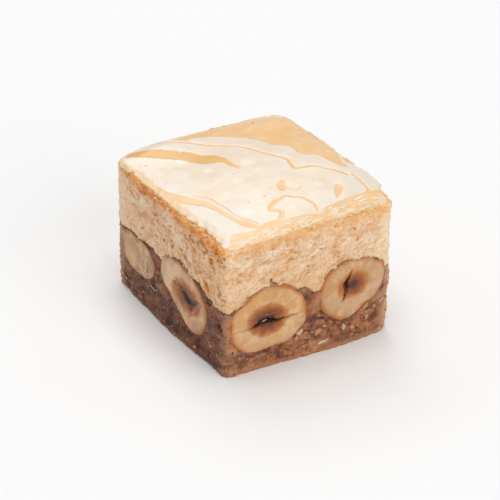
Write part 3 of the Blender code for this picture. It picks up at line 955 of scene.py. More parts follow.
# Specks of syrup caught under the sheet: x, y, radius.
SYRUP_SPECKS = (
    (-2.7, 0.9, 0.22), (-0.2, 0.3, 0.15), (-4.1, -8.8, 0.14), (-2.3, -7.6, 0.28), (-5.1, -7.6, 0.14),
    (-6.6, -8.8, 0.14), (-12.2, 11.8, 0.25), (-10.6, 9.8, 0.12), (2.1, 6.3, 0.12), (-12.4, 7.9, 0.12),
    (3.1, -4.4, 0.1), (-1.6, -7.4, 0.16),
)
RING_MIDDLE, RING_RADII, RING_WIDTH = (3.0, -6.9), (1.15, 1.7), 0.07


def inside_outline(spots, outline):
    """Which spots lie inside a closed outline, by counting its crossings to their right."""
    inside = np.zeros(len(spots), bool)
    x, y = spots.T
    for (x1, y1), (x2, y2) in zip(outline, np.roll(outline, -1, axis=0)):
        crosses = (y1 > y) != (y2 > y)
        inside ^= crosses & (x < x1 + (y - y1) * (x2 - x1) / (y2 - y1 if y2 != y1 else 1e-9))
    return inside


def edge_reach(name, along):
    places, reaches = zip(*SHEET_EDGES[name])
    return float(np.interp(along, places, reaches))


def sheet_spot(u, v):
    """The place of the sheet's (u, v), with its edges drawn in or out from the block's plan."""
    spot = plan_spot(u, v)
    ragged = 0.34 * noise.noise(Vector((u, v, 0)) * 14) + 0.2 * noise.noise(Vector((u, v, 0)) * 37)
    along_x = edge_reach("left" if u < 0 else "right", spot.y) + ragged
    along_y = edge_reach("front" if v < 0 else "back", spot.x) + ragged
    spot.x += math.copysign(abs(u) ** 6, u) * along_x
    spot.y += math.copysign(abs(v) ** 6, v) * along_y
    return spot


def top_height(spot):
    """The sponge's top with its rounded edge, which the sheet lies on."""
    u = spot.x / (HALF_WIDTH + SIDE_BULGE)
    v = spot.y / (HALF_DEPTH + SIDE_BULGE)
    fallen = 0
    for inset, edge in (
        ((1 - abs(u)) * HALF_WIDTH, Vector((math.copysign(HALF_WIDTH, u), spot.y, 0))),
        ((1 - abs(v)) * HALF_DEPTH, Vector((spot.x, math.copysign(HALF_DEPTH, v), 0))),
    ):
        inwards, drop = crown_rounding(edge)
        lean = max(0, min(1, 1 - inset / inwards))
        fallen += drop * (1 - math.sqrt(1 - 0.98 * lean * lean))
    return crown_height(spot) - fallen


def pushes(spots, height, scale, seed=Vector((0, 0, 0))):
    """A soft push for each spot, across and up, that draws a straight edge crooked."""
    return np.array([noise.noise_vector(Vector((x, y, height)) * scale + seed).xy for x, y in spots])


def blotted(spots, *blots):
    """Soft noise at each spot, added up from blots: strength, scale along x and along y, seed."""
    return sum(
        strength * np.array([noise.noise(Vector((x * along, y * up, seed))) for x, y in spots])
        for strength, along, up, seed in blots)


def most(values, *others):
    for other in others:
        values = np.maximum(values, other)
    return values


sheet = bmesh.new()
sheet_layers = [sheet.verts.layers.float.new(name) for name in SHEET_MASKS]
bmesh.ops.create_grid(sheet, x_segments=SHEET_CELLS[0], y_segments=SHEET_CELLS[1], size=1)
from_edge = []
for vertex in sheet.verts:
    from_edge.append(min((1 - abs(vertex.co.x)) * HALF_WIDTH, (1 - abs(vertex.co.y)) * HALF_DEPTH))
    vertex.co = sheet_spot(*vertex.co.xy)
sheet.verts.index_update()
spots = np.array([vertex.co.xy for vertex in sheet.verts])
wobble, fray = pushes(spots, 3, 1.1), pushes(spots, 3, 3.7)
drawn = spots + 0.15 * wobble + 0.12 * fray
fine_drawn = spots + 0.12 * wobble + 0.06 * fray

amber = most(*(soft_edge(outside_route(drawn, smooth_route(run)), 0.25) for run in AMBER_RUNS))
for field in AMBER_FIELDS:
    outline = smooth_route(field, closed=True)
    gap = outside_route(drawn, outline)
    gap = np.where(inside_outline(drawn, outline), -gap, gap)
    amber = np.maximum(amber, soft_edge(gap, 0.3))
    if field is AMBER_FIELDS[0]:
        # The leaf is deeper in colour than the rest.
        deep = soft_edge(gap, 0.3)
for x, y, radius in SYRUP_SPECKS:
    gap = np.hypot(fine_drawn[:, 0] - x, fine_drawn[:, 1] - y) - radius
    amber = np.maximum(amber, 0.7 * soft_edge(gap, 0.2))
ring = np.hypot(
    (drawn[:, 0] - RING_MIDDLE[0]) / RING_RADII[0], (drawn[:, 1] - RING_MIDDLE[1]) / RING_RADII[1])
amber = np.maximum(amber, 0.6 * soft_edge(np.abs(ring - 1) * RING_RADII[0] - RING_WIDTH, 0.15))
seams = most(*(soft_edge(outside_route(fine_drawn, smooth_route(run)), 0.2) for run in SEAM_LINES))
white = most(*(soft_edge(outside_route(drawn, smooth_route(run)), 0.6) for run in WHITE_RUNS))
air = np.zeros(len(spots))
for x, y, radius in AIR_SPOTS:
    gap = np.hypot(drawn[:, 0] - x, drawn[:, 1] - y) - radius
    air = np.maximum(air, soft_edge(gap, 0.7))
    amber *= 1 - 0.5 * soft_edge(gap + 0.4, 0.7)
    deep *= 1 - 0.8 * soft_edge(gap + 0.2, 0.5)

# Layers of the pastry end one past another along the left edge, in fine amber lines.
left_reach = np.array([edge_reach("left", y) for x, y in spots])
from_left = spots[:, 0] + HALF_WIDTH + SIDE_BULGE + left_reach + 0.12 * fray[:, 0] + 0.25 * wobble[:, 0]
lines = 0.5 + 0.5 * np.sin(from_left * 17 + 2.5 * wobble[:, 1])
left_border = soft_edge(from_left - 1.0, 0.6) * (0.45 + 0.55 * np.clip((spots[:, 1] + 5) / 3, 0, 1))
amber = np.maximum(amber, left_border * (0.25 + 0.6 * lines))
# The strip along the front is streaked with cream.
along_front = soft_edge(spots[:, 1] + 15.2, 1.2)
streaks = blotted(spots, (1, 0.5, 3.2, 1), (0.6, 1.5, 5, 5))
amber *= 1 - along_front * np.clip(0.5 + 1.1 * streaks, 0, 0.9)
flecks = blotted(spots, (1, 1.8, 4.5, 8), (0.5, 4, 7, 2))
white = np.maximum(white, 0.45 * along_front * np.clip((flecks - 0.26) / 0.2, 0, 1))
# White streaks run in from the right edge too.
from_right = np.clip((spots[:, 0] - 11.5) / 2, 0, 1) * np.clip((9.5 - spots[:, 1]) / 2, 0, 1)
amber *= 1 - from_right * np.clip(0.35 + 1.4 * streaks, 0, 0.7)

for vertex, inset, *masks in zip(sheet.verts, from_edge, amber, seams, white, air, deep):
    ripple = 0.06 * noise.noise(vertex.co * 0.3) + 0.012 * noise.noise(vertex.co * 0.9)
    rise = smooth_step(-0.3, 2.8, inset)
    puff = (ripple + 0.05 * (1 - masks[0])) * smooth_step(0, 0.8, inset)
    lift = RIM_LIFT + (SHEET_LIFT - RIM_LIFT) * rise + puff
    vertex.co.z = top_height(vertex.co) + lift - 0.1 * masks[1]
    for layer, value in zip(sheet_layers, masks):
        vertex[layer] = value

edges = [edge for edge in sheet.edges if edge.is_boundary]
for share, lift in UNDER_RINGS:
    ring, edges = grow_ring(sheet, edges)
    for vertex in ring:
        vertex.co.xy *= share
        vertex.co.z = top_height(vertex.co) + lift
        for layer, value in zip(sheet_layers, (0.7, 0, 0)):
            vertex[layer] = value
close_skin(sheet)

FILO_CREAM = (0.85, 0.745, 0.62, 1)
FILO_WARM = (0.845, 0.69, 0.53, 1)
FILO_WHITE = (0.80, 0.72, 0.612, 1)
FILO_AIR = (0.88, 0.79, 0.68, 1)
FILO_AMBER = (0.875, 0.60, 0.33, 1)
FILO_DEEP = (0.86, 0.53, 0.235, 1)
FILO_SEAM = (0.83, 0.50, 0.19, 1)
FILO_TOFFEE = (0.815, 0.47, 0.155, 1)
FILO_CARAMEL = (0.76, 0.415, 0.11, 1)

filo_material, tree, shader = food_material("glazed filo", 0.3, 0.0004, (1.0, 0.94, 0.88))
place = place_of(tree)
cream = mixed(tree, ranged(tree, speckle(tree, place, 0.007, 3.0), 0.4, 0.65), FILO_CREAM, FILO_WARM)
cream = mixed(tree, mask_of(tree, "white"), cream, FILO_WHITE)
cream = mixed(tree, times(tree, mask_of(tree, "air"), 0.8), cream, FILO_AIR)
stretched = tree.nodes.new("ShaderNodeMapping")
feed(tree, stretched.inputs["Vector"], place)
stretched.inputs["Rotation"].default_value = (0, 0, math.radians(55))
stretched.inputs["Scale"].default_value = (0.6, 1.1, 1)
clouds = speckle(tree, stretched.outputs[0], 0.0028, 3.0)
golden = mixed(tree, ranged(tree, clouds, 0.36, 0.66), FILO_AMBER, FILO_DEEP)
amber_here = mask_of(tree, "amber")
colour = mixed(tree, amber_here, cream, golden)
toffee = mixed(tree, ranged(tree, axes_of(tree, place)[1], 0.0045, 0.0105), FILO_TOFFEE, FILO_CARAMEL)
colour = mixed(tree, times(tree, mask_of(tree, "deep"), 0.85), colour, toffee)
# The syrup gathers at the border of an amber run, and is deepest there.
border = times(tree, ranged(tree, amber_here, 0.1, 0.6), ranged(tree, amber_here, 1.0, 0.75, 0.0, 0.5))
border = times(tree, border, ranged(tree, mask_of(tree, "deep"), 0.0, 0.3, 1.0, 0.25))
colour = mixed(tree, border, colour, FILO_SEAM)
colour = mixed(tree, mask_of(tree, "seam"), colour, FILO_SEAM)
relief = bumped(tree, speckle(tree, place, 0.0025, 3.0), 0.00004, 0.4)
coat(tree, shader, colour, dampened(tree, place, 0.009, 0.26, 0.23), relief)
sheet_tree = BVHTree.FromBMesh(sheet)
finish_piece(sheet, "filo_top", filo_material, "filo_sheet")

# ---------------------------------------------------------------------------------------------
# The hazelnuts. Whole roasted kernels that the knife halved: a thin brown skin, cream flesh in two
# leaves with a split between them, and a hollow heart that has darkened, still wet in places.

NUT_TURNS = 200  # steps of a half's spin
FACE_RINGS = 46  # rings of its cut face, and of the dome behind it
DOME_RINGS = 8
FACE_EDGE = ((0.99, -0.006), (1.0, -0.03))  # where the face turns into the dome: share of the reach, height

# The kernel's heart, in millimetres from the half's middle: the brown halo round it (across, up,
# half width, half height), the dark hollow and the splits as routes with half widths, how the skin
# shows round the cut face, from 0 to 1, and how the flesh deepens across the face: a direction
# across and up, where along it the change starts and ends, and the depth of tan there. Last, how
# far paste is smeared over its rim and how dark the halo is, both from 0 to 1, and the way from the
# middle, across and up, to where the rim has lost its skin.
Heart = namedtuple("Heart", "halo hollows splits skin deepening smear depth bare")
HEARTS = {
    "hazelnut_front_left": Heart(
        (-0.35, -0.3, 3.75, 2.9),
        (((-2.6, -1.05, 0.0), (-1.9, -0.85, 0.25), (-1.0, -0.55, 0.45), (0.0, -0.6, 0.35), (1.3, -0.75, 0.15),
          (2.4, -0.75, 0.0)),),
        (((-6.3, -1.15, 0.02), (-4.2, -1.05, 0.05), (-2.0, -1.0, 0.15), (0.5, -0.95, 0.28),
          (2.6, -0.78, 0.22), (4.4, -0.6, 0.1), (5.6, -0.45, 0.0)),),
        0.85, (0, 1, -1.3, -0.75, 0.3, 0.95), 0.1, 1.0, (0.4, -0.95)),
    "hazelnut_front_right": Heart(
        (0.15, 0.55, 3.15, 2.45),
        (((-0.2, 2.9, 0.0), (-0.6, 1.9, 0.2), (-1.1, 0.8, 0.3), (-1.15, -0.2, 0.3), (-1.3, -1.1, 0.15),
          (-1.7, -1.9, 0.0)),),
        (),
        0.7, (-0.4, 1, -3.5, 4.0, 0.2, 0.95), 0.1, 0.95, (0.75, -0.65)),
    "hazelnut_left_middle": Heart(
        (1.2, -0.1, 4.9, 2.9),
        (((-0.6, 0.35, 0.0), (0.6, -0.1, 0.25), (2.0, -0.8, 0.45), (3.1, -0.3, 0.4), (4.6, 0.6, 0.1)),
         ((1.9, -1.1, 0.25), (2.2, -1.7, 0.1))),
        (((1.2, -3.35, 0.0), (2.8, -2.4, 0.07), (4.4, -1.1, 0.1), (5.4, 0.6, 0.08), (5.6, 2.0, 0.0)),
         ((-2.9, 1.9, 0.0), (-1.4, 1.0, 0.12), (0.4, 0.9, 0.12), (2.2, 1.1, 0.0))),
        0.5, (1, -0.3, -5.5, 2.0, -0.1, 0.45), 0.5, 0.95, (-0.6, -0.8)),
    "hazelnut_left_back": Heart(None, (), (), 0.3, (0.4, 1, -3, 3, 1.1, 1.35), 1.0, 0.0, (0.6, -0.8)),
    "hazelnut_right_front": Heart(
        (0.2, 0.1, 3.3, 2.7),
        (((-2.1, 0.1, 0.0), (-0.6, 0.2, 0.4), (0.8, -0.1, 0.4), (2.2, 0.0, 0.0)),),
        (((-5.6, 0.4, 0.0), (-3.0, 0.2, 0.08), (0.0, 0.0, 0.12), (3.2, 0.1, 0.08), (5.4, -0.3, 0.0)),),
        0.7, (0, 1, -0.3, 0.3, 0.3, 0.9), 0.3, 0.9, (0, -1)),
    "hazelnut_right_back": Heart(
        (0.0, 0.2, 3.4, 2.4),
        (((-2.4, 0.3, 0.0), (-0.6, 0.2, 0.35), (1.0, 0.1, 0.35), (2.5, 0.2, 0.0)),),
        (((-4.9, 0.6, 0.0), (-2.4, 0.3, 0.08), (2.4, 0.2, 0.08), (4.6, 0.5, 0.0)),),
        0.6, (1, 1, -4, 4, 0.2, 0.9), 0.4, 0.8, (-0.7, -0.7)),
    "hazelnut_back": Heart(
        (-0.2, 0.1, 3.1, 2.9),
        (((-1.0, 1.8, 0.0), (-0.5, 0.6, 0.4), (0.1, -0.5, 0.4), (0.8, -1.7, 0.0)),),
        (((-1.6, 4.4, 0.0), (-0.9, 2.2, 0.08), (0.2, -1.0, 0.1), (1.0, -4.0, 0.0)),),
        0.7, (-1, 0.3, -1, 1, 0.3, 0.8), 0.3, 0.9, (0.5, -0.9)),
}
NUT_MASKS = ("hollow", "split", "halo", "skin", "deepening", "glow", "streak", "smear", "dull")
DULL_NUTS = ("hazelnut_front_right",)


def new_half(name):
    """A halved kernel: its profile, from the middle of the cut face round to the dome, spun."""
    side, reaches = HALVES[name]
    middle_across, middle_up = MIDDLES[name]
    low, high = box_of(name)
    depth = abs((high - low).dot(SIDES[side].outward)) - 0.3
    heart = HEARTS[name]

    half = bmesh.new()
    profile = [(ring / FACE_RINGS * 0.975, 0) for ring in range(FACE_RINGS + 1)]
    profile += FACE_EDGE
    for ring in range(1, DOME_RINGS + 1):
        lean = math.pi / 2 * ring / DOME_RINGS
        profile.append((math.cos(lean), -0.03 - 0.97 * math.sin(lean)))
    verts = [half.verts.new((share, 0, up)) for share, up in profile]
    edges = [half.edges.new(pair) for pair in zip(verts, verts[1:])]
    bmesh.ops.spin(
        half, geom=verts + edges, cent=(0, 0, 0), axis=(0, 0, 1), angle=math.tau,
        steps=NUT_TURNS, use_merge=True)
    bmesh.ops.remove_doubles(half, verts=half.verts, dist=1e-5)
    bmesh.ops.recalc_face_normals(half, faces=half.faces)

    layers = [half.verts.layers.float.new(key) for key in NUT_MASKS]
    half.verts.index_update()
    shares = np.array([math.hypot(vertex.co.x, vertex.co.y) for vertex in half.verts])
    turns = np.array([math.atan2(vertex.co.y, vertex.co.x) % math.tau for vertex in half.verts])
    reach = shares * [reach_at(turn, reaches) for turn in turns]
    spots = np.column_stack([reach * np.cos(turns), reach * np.sin(turns)])
    seed = Vector((middle_across, middle_up, 0))
    wobble, fray = pushes(spots, 1, 1.3, seed), pushes(spots, 1, 4.5, seed)
    drawn = spots + 0.22 * wobble + 0.04 * fray
    ragged = spots + 0.22 * wobble + 0.14 * fray
    hollow, split, halo = np.zeros((3, len(spots)))
    for route in heart.hollows:
        gap = outside_route(ragged, smooth_route(route))
        hollow = np.maximum(hollow, soft_edge(gap, 0.4 + 1.4 * heart.smear) * (1 - 0.4 * heart.smear))
    for route in heart.splits:
        split = np.maximum(split, soft_edge(outside_route(drawn, smooth_route(route)), 0.35))
    # Rays that run from the heart: broad ones, and fine fibres.
    middle = np.array(heart.halo[:2] if heart.halo else (0, 0))
    turned = np.arctan2(drawn[:, 1] - middle[1], drawn[:, 0] - middle[0])
    rays, fibres = (
        np.array([
            noise.noise(Vector((math.cos(t) * count, math.sin(t) * count, share * outwards)) + seed)
            for t, share in zip(turned, shares)])
        for count, outwards in ((4, 1.2), (16, 1.5)))
    if not heart.halo:
        rays *= 0.2
        fibres *= 0.2
    else:
        across, up, half_width, half_height = heart.halo
        far = np.hypot((drawn[:, 0] - across) / half_width, (drawn[:, 1] - up) / half_height)
        far += 0.03 * rays + 0.02 * fibres
        blotches = np.array([noise.noise(Vector((x, y, 4)) * 0.9 + seed) for x, y in drawn])
        inner = np.clip((1 - far) / 0.85 + 0.16 * blotches, 0, 1)
        within = soft_edge((far - 0.96) * half_height, 0.9 + 1.2 * heart.smear)
        halo = heart.depth * within * (0.16 + 0.84 * inner)
    towards_across, towards_up, start, end, tan_start, tan_end = heart.deepening
    towards = drawn[:, 0] * towards_across + drawn[:, 1] * towards_up
    deepening = tan_start + (tan_end - tan_start) * soft_edge((start + end) / 2 - towards, end - start)

    for index, vertex in enumerate(half.verts):
        share, turn, back = shares[index], turns[index], vertex.co.z
        x, y = spots[index]
        on_face = smooth_step(-0.05, 0.0, back)
        relief = 0.07 * noise.noise(Vector((x, y, 0)) * 0.6 + seed)
        relief += 0.025 * noise.noise(Vector((x, y, 5)) * 2.5 + seed) + 0.015 * fibres[index]
        depth_here = (1.0 + 0.6 * noise.noise(Vector((x, y, 2)) * 2.2 + seed)) * (1 - heart.smear)
        relief -= hollow[index] * max(0.15, depth_here)
        relief -= 0.12 * split[index] + 0.15 * halo[index]
        around = Vector((math.cos(turn), math.sin(turn), 0))
        ragged_rim = 0.12 * noise.noise(around * 6 + seed) + 0.05 * noise.noise(around * 17 + seed)
        rim = smooth_step(0.8, 1.0, share)
        out = 0.05 + relief * on_face * (1 - 0.5 * rim) + back * depth
        stretch = 1 + rim * ragged_rim / reach_at(turn, reaches)
        vertex.co = side_spot(side, middle_across + x * stretch, middle_up + y * stretch, out)
        patchy = noise.noise(around * 2.2 + seed + Vector((0, 0, 7)))
        bare = smooth_step(0.1, 0.8, math.cos(turn) * heart.bare[0] + math.sin(turn) * heart.bare[1])
        showing = min(1, max(0, heart.skin + 1.3 * patchy - bare))
        from_rim = (1 - share) * reach_at(turn, reaches) + 0.12 * rays[index] + 0.05 * wobble[index][1]
        skin = smooth_step(0.3 + 0.15 * showing, 0.2, from_rim) * smooth_step(0, 0.6, showing)
        smear = share + 0.4 * noise.noise(Vector((x, y, 9)) * 0.6 + seed) + 0.12 * wobble[index][0]
        values = (  # in the order of NUT_MASKS
            hollow[index] * on_face,
            split[index] * on_face,
            halo[index] * on_face,
            skin if back > -0.05 or heart.skin < 0.5 else 1,
            deepening[index],
            smooth_step(0.9, 0.35, from_rim) * (0.15 + 0.85 * showing),
            0.5 + 0.4 * rays[index] + 0.4 * fibres[index],
            heart.smear * smooth_step(0.7, 1.05, smear),
            float(name in DULL_NUTS),
        )
        for layer, value in zip(layers, values):
            vertex[layer] = value
    return half


FLESH_PALE = (0.76, 0.525, 0.315, 1)
FLESH_CREAM = (0.68, 0.42, 0.22, 1)
FLESH_TAN = (0.68, 0.37, 0.152, 1)
FLESH_DULL = (0.50, 0.275, 0.130, 1)
FLESH_LIGHT = (0.82, 0.58, 0.35, 1)
DULL_TINT = (0.90, 0.90, 0.93, 1)
GLOW_ORANGE = (0.60, 0.21, 0.032, 1)
HALO_ORANGE = (0.56, 0.225, 0.062, 1)
HALO_RED = (0.32, 0.088, 0.024, 1)
HALO_BROWN = (0.080, 0.025, 0.016, 1)
SMEAR_BROWN = (0.30, 0.135, 0.065, 1)
THROUGH_FLESH = (0.88, 0.56, 0.33, 1)
SPLIT_SHADE_BROWN = (0.17, 0.055, 0.022, 1)
HEART_BLACK = (0.012, 0.009, 0.013, 1)
SKIN_DARK = (0.12, 0.028, 0.010, 1)

nut_material, tree, shader = food_material("hazelnut flesh", 0.8, 0.0009, (1.0, 0.75, 0.5))
shader.inputs["Specular IOR Level"].default_value = 0.35
place = place_of(tree)
streaks = mask_of(tree, "streak")
halo_here = mask_of(tree, "halo")
deepening = mask_of(tree, "deepening")
flesh = mixed(tree, ranged(tree, deepening, 0.0, 0.4), FLESH_PALE, FLESH_CREAM)
flesh = layered(
    tree, flesh,
    (deepening, 0.4, 1.0, 1.0, FLESH_TAN),
    (deepening, 1.0, 1.3, 1.0, FLESH_DULL),
    (speckle(tree, place, 0.0025), 0.46, 0.62, 0.75, FLESH_TAN),
    (speckle(tree, place, 0.0018), 0.52, 0.36, 0.5, FLESH_LIGHT),
    (streaks, 0.55, 0.85, 0.4, FLESH_LIGHT),
    (streaks, 0.45, 0.15, 0.35, FLESH_TAN),
    (speckle(tree, place, 0.0006, 4.0), 0.52, 0.75, 0.35, FLESH_TAN))
flesh = mixed(tree, times(tree, mask_of(tree, "glow"), 0.95), flesh, GLOW_ORANGE)
flesh = mixed(tree, times(tree, lit_through(tree, place, 0.004), 0.5), flesh, THROUGH_FLESH)
flesh = mixed(tree, mask_of(tree, "dull"), flesh, DULL_TINT, "MULTIPLY")
colour = layered(
    tree, flesh,
    (halo_here, 0.0, 0.24, 1.0, HALO_ORANGE),
    (halo_here, 0.22, 0.62, 1.0, HALO_RED),
    (halo_here, 0.6, 0.98, 1.0, HALO_BROWN))
# Painted shade: the split is coloured brown, where its raised edge shades it.
colour = mixed(tree, times(tree, mask_of(tree, "split"), 0.75), colour, SPLIT_SHADE_BROWN)
colour = mixed(tree, mask_of(tree, "hollow"), colour, HEART_BLACK)
skin_colour = mixed(tree, ranged(tree, speckle(tree, place, 0.0015), 0.54, 0.68), RIM_BROWN, SKIN_DARK)
colour = mixed(tree, mask_of(tree, "skin"), colour, skin_colour)
colour = mixed(tree, times(tree, mask_of(tree, "smear"), 0.85), colour, SMEAR_BROWN)
dry_face = dampened(tree, place, 0.0015, 0.45, 0.28)
roughness = ranged(tree, mask_of(tree, "hollow"), 0.2, 0.8, dry_face, 0.08)
fine_relief = bumped(tree, speckle(tree, place, 0.0003), 0.00003, 0.6)
coat(tree, shader, colour, roughness, bumped(tree, streaks, 0.00006, 0.6, fine_relief))
for name in HALVES:
    finish_piece(new_half(name), name + "_kernel", nut_material, name)

# ---------------------------------------------------------------------------------------------
# Bits in the cut sides and on them. Chips of chopped nut and flakes of dark nut skin pressed into
# the paste, loose crumbs that cling to the sponge, and beads of syrup, which fall and stick there.
# The beads are pale, as painted glints.


RAY_START = 40  # well outside the block
NUT_CLEARANCE = 0.25  # how far drawn bits keep from the nuts
DRAW_WIDTH = 0.97  # the share of a side's width that they are drawn on


def landing(tree, side, across, up):
    """Where a bit that comes straight at a side lands, and the way out of the surface there."""
    outward, right = SIDES[side]
    spot, way, _, _ = tree.ray_cast(outward * RAY_START + right * across + Vector((0, 0, up)), -outward)
    return spot, way


def add_bit(bits, tone, spot, way, turn, size, sunk, shade, rounds=2, rough=0.5):
    """Adds a small lump to a bmesh: its half length, width and height, and how far it is sunk."""
    lump = bmesh.ops.create_icosphere(bits, subdivisions=rounds, radius=1)["verts"]
    stand = way.to_track_quat("Z", "Y").to_matrix() @ Matrix.Rotation(turn, 3, "Z")
    for vertex in lump:
        grown = vertex.co * (1 + rough * noise.noise(vertex.co * 1.4 + spot * 5))
        grown.z -= sunk
        vertex.co = spot + stand @ (grown * Vector(size))
        vertex[tone] = shade


def on_sheet(x, y):
    """Where a bit that falls on the sheet lands, and the way up out of it there."""
    spot, way, _, _ = sheet_tree.ray_cast(Vector((x, y, RAY_START)), Vector((0, 0, -1)))
    return spot, way


def new_bits():
    bits = bmesh.new()
    return bits, bits.verts.layers.float.new("tone")


SIDE_WIDTHS = {"front": HALF_WIDTH, "right": HALF_DEPTH, "back": HALF_WIDTH, "left": HALF_DEPTH}
draws = random.Random(31)


def anywhere(side, across, up):
    return True


def draw_place(tree, low, high, keep=anywhere):
    """A place drawn on the cut sides between two heights, clear of the nuts, and the way out there."""
    while True:
        side = draws.choice(("front", "front", "left", "left", "right", "back"))
        across = draws.uniform(-DRAW_WIDTH, DRAW_WIDTH) * SIDE_WIDTHS[side]
        up = draws.uniform(low, high)
        spot, way = landing(tree, side, across, up)
        if spot is not None and inside_nuts(spot) < -NUT_CLEARANCE and keep(side, across, up):
            return spot, way


def strew(bits, tone, count, where, sizes, longest, sunk, shades, thickness=None, rough=0.5):
    """Adds lumps at drawn places, each with a drawn size, turn, length and shade."""
    for _ in range(count):
        spot, way = draw_place(*where)
        size = draws.uniform(*sizes)
        turn = draws.uniform(0, math.pi)
        shape = (size * draws.uniform(1, longest), size, thickness or size * 0.6)
        add_bit(bits, tone, spot, way, turn, shape, sunk, draws.uniform(*shades), rough=rough)


def bit_material(name, first, last, blotch, relief, dry, wet, *see_through, eased=False):
    """The look of small bits, each between a first and a last tone, blotched, with damp spots.

    blotch is the size of the blots, how far they cover and their colour."""
    material, tree, shader = food_material(name, *see_through)
    place = place_of(tree)
    tone = mask_of(tree, "tone")
    colour = mixed(tree, ranged(tree, tone, 0.0, 1.0) if eased else tone, first, last)
    size, share, over = blotch
    colour = layered(tree, colour, (speckle(tree, place, size), 0.5, 0.7, share, over))
    normal = bumped(tree, speckle(tree, place, 0.0002), relief, 0.6)
    coat(tree, shader, colour, dampened(tree, place, 0.0005, dry, wet), normal)
    return material


# Chips of nut that show in the cut: side, across, up, half length and width, turn, how pale.
NUT_CHIPS = (
    ("front", 2.1, 1.7, 0.80, 0.24, 0.15, 1.0),
    ("front", -1.9, 4.5, 0.55, 0.42, 0.9, 0.75),
    ("front", -2.7, 3.6, 0.35, 0.2, 0.4, 0.55),
    ("front", 1.3, 3.5, 0.55, 0.4, 0.6, 0.35),
    ("front", 2.4, 4.3, 0.4, 0.22, -0.4, 0.4),
    ("front", 5.9, 3.1, 0.34, 0.52, 0.1, 0.8),
    ("front", 7.4, 2.6, 0.24, 0.2, 0.3, 0.75),
    ("front", 8.6, 2.5, 0.2, 0.16, 0.1, 0.65),
    ("front", 10.1, 3.6, 0.34, 0.24, 1.2, 0.7),
    ("front", 11.7, 4.9, 0.3, 0.17, 1.3, 0.95),
    ("front", 9.8, 5.6, 0.5, 0.2, 0.9, 0.5),
    ("front", 12.8, 5.6, 0.35, 0.2, 0.5, 0.6),
    ("left", -3.8, 11.7, 0.42, 0.16, 0.3, 1.0),
    ("left", 12.9, 3.5, 0.35, 0.2, 0.2, 0.3),
    ("left", 8.6, 1.2, 0.3, 0.1, 0.0, 0.7),
    ("right", -10.0, 2.6, 0.6, 0.3, 0.4, 0.8),
    ("right", 2.0, 8.0, 0.4, 0.3, 1.0, 0.6),
    ("right", 12.5, 4.6, 0.6, 0.35, 2.0, 0.75),
    ("back", -9.5, 4.0, 0.6, 0.3, 0.3, 0.8),
    ("back", 7.6, 3.0, 0.5, 0.35, 1.2, 0.6),
)
chips, chip_tone = new_bits()
for side, across, up, length, width, turn, pale in NUT_CHIPS:
    spot, way = landing(paste_tree, side, across, up)
    size = (1.25 * length, 1.25 * width, 0.15)
    add_bit(chips, chip_tone, spot, SIDES[side].outward, turn, size, 0.3, 1.2 * pale - 0.35, 3, 0.3)
strew(chips, chip_tone, 55, (paste_tree, 0.4, 10.4), (0.08, 0.24), 1.6, 0.45, (-0.3, 0.35))

CHIP_PALE = (0.76, 0.53, 0.33, 1)
CHIP_TAN = (0.50, 0.26, 0.115, 1)
chip_material = bit_material(
    "nut chip", CHIP_TAN, CHIP_PALE, (0.0005, 0.5, CHIP_TAN), 0.00004, 0.5, 0.25,
    0.4, 0.0004, (1.0, 0.8, 0.6), eased=True)
finish_piece(chips, "nut_chips", chip_material, None)

# Flakes of nut skin: side, across, up, half length and width, turn.
SKIN_FLAKES = (
    ("left", 2.2, 13.45, 1.5, 0.26, 0.03),
    ("left", 3.9, 13.6, 0.8, 0.2, -0.05),
    ("front", -7.0, 14.75, 0.34, 0.26, 0.5),
    ("front", -6.4, 14.3, 0.4, 0.16, -0.5),
    ("front", -6.9, 19.2, 0.1, 0.07, 0.2),
    ("front", -12.4, 14.6, 0.09, 0.08, 0.2),
    ("front", 13.2, 8.0, 0.25, 0.18, 1.2),
    ("front", 7.4, 5.2, 0.6, 0.12, -0.3),
    ("left", 0.4, 11.0, 0.4, 0.12, 0.4),
    ("left", 8.6, 12.2, 0.5, 0.16, -0.4),
)
flakes, flake_tone = new_bits()
for side, across, up, length, width, turn in SKIN_FLAKES:
    spot, way = landing(sponge_tree if up > 13 else paste_tree, side, across, up)
    add_bit(flakes, flake_tone, spot, way, turn, (length, width, 0.09), 0.1, 0.5, 3)
# One dark speck lies on the sheet, at the back.
spot, way = on_sheet(8.7, 14.5)
add_bit(flakes, flake_tone, spot, way, 0.4, (0.2, 0.15, 0.05), 0.1, 1.0)
strew(flakes, flake_tone, 190, (paste_tree, 0.4, 10.6), (0.07, 0.2), 2.2, 0.1, (0, 1), thickness=0.04)
flake_material = bit_material(
    "nut skin", SKIN_BROWN, SKIN_DARK, (0.0004, 0.6, SKIN_DARK), 0.00003, 0.4, 0.15)
finish_piece(flakes, "skin_flakes", flake_material, None)

# Crumbs of the sponge, which the knife tore off.
crumbs, crumb_tone = new_bits()
strew(crumbs, crumb_tone, 260, (sponge_tree, 11.8, 21.6), (0.06, 0.16), 1.5, 0.5, (0, 1), rough=0.6)
crumb_material = bit_material(
    "loose crumb", SPONGE_PALE, CRUMB_WHITE, (0.0004, 0.5, SPONGE_TAN), 0.00004, 0.5, 0.2,
    0.4, 0.0004, (1.0, 0.9, 0.78))
finish_piece(crumbs, "sponge_crumbs", crumb_material, None)

# Beads of syrup, pale as painted glints: along the crust, on the upper crumb, round the nuts,
# and on the sheet's front strip.
beads, bead_tone = new_bits()


def add_bead(spot, way, size):
    add_bit(beads, bead_tone, spot, way, 0, (size, size * draws.uniform(0.7, 1.2), size * 0.7), 0.1,
            draws.uniform(0, 1), rough=0.3)


def near_crust(side, across, up):
    """Beads gather under the top, and on the front more to the right."""
    falls = math.exp(-((21.6 - up) / 1.6)) + 0.05
    return draws.random() < falls * (0.35 + 0.65 * smooth_step(-6, 4, across) if side == "front" else 0.4)


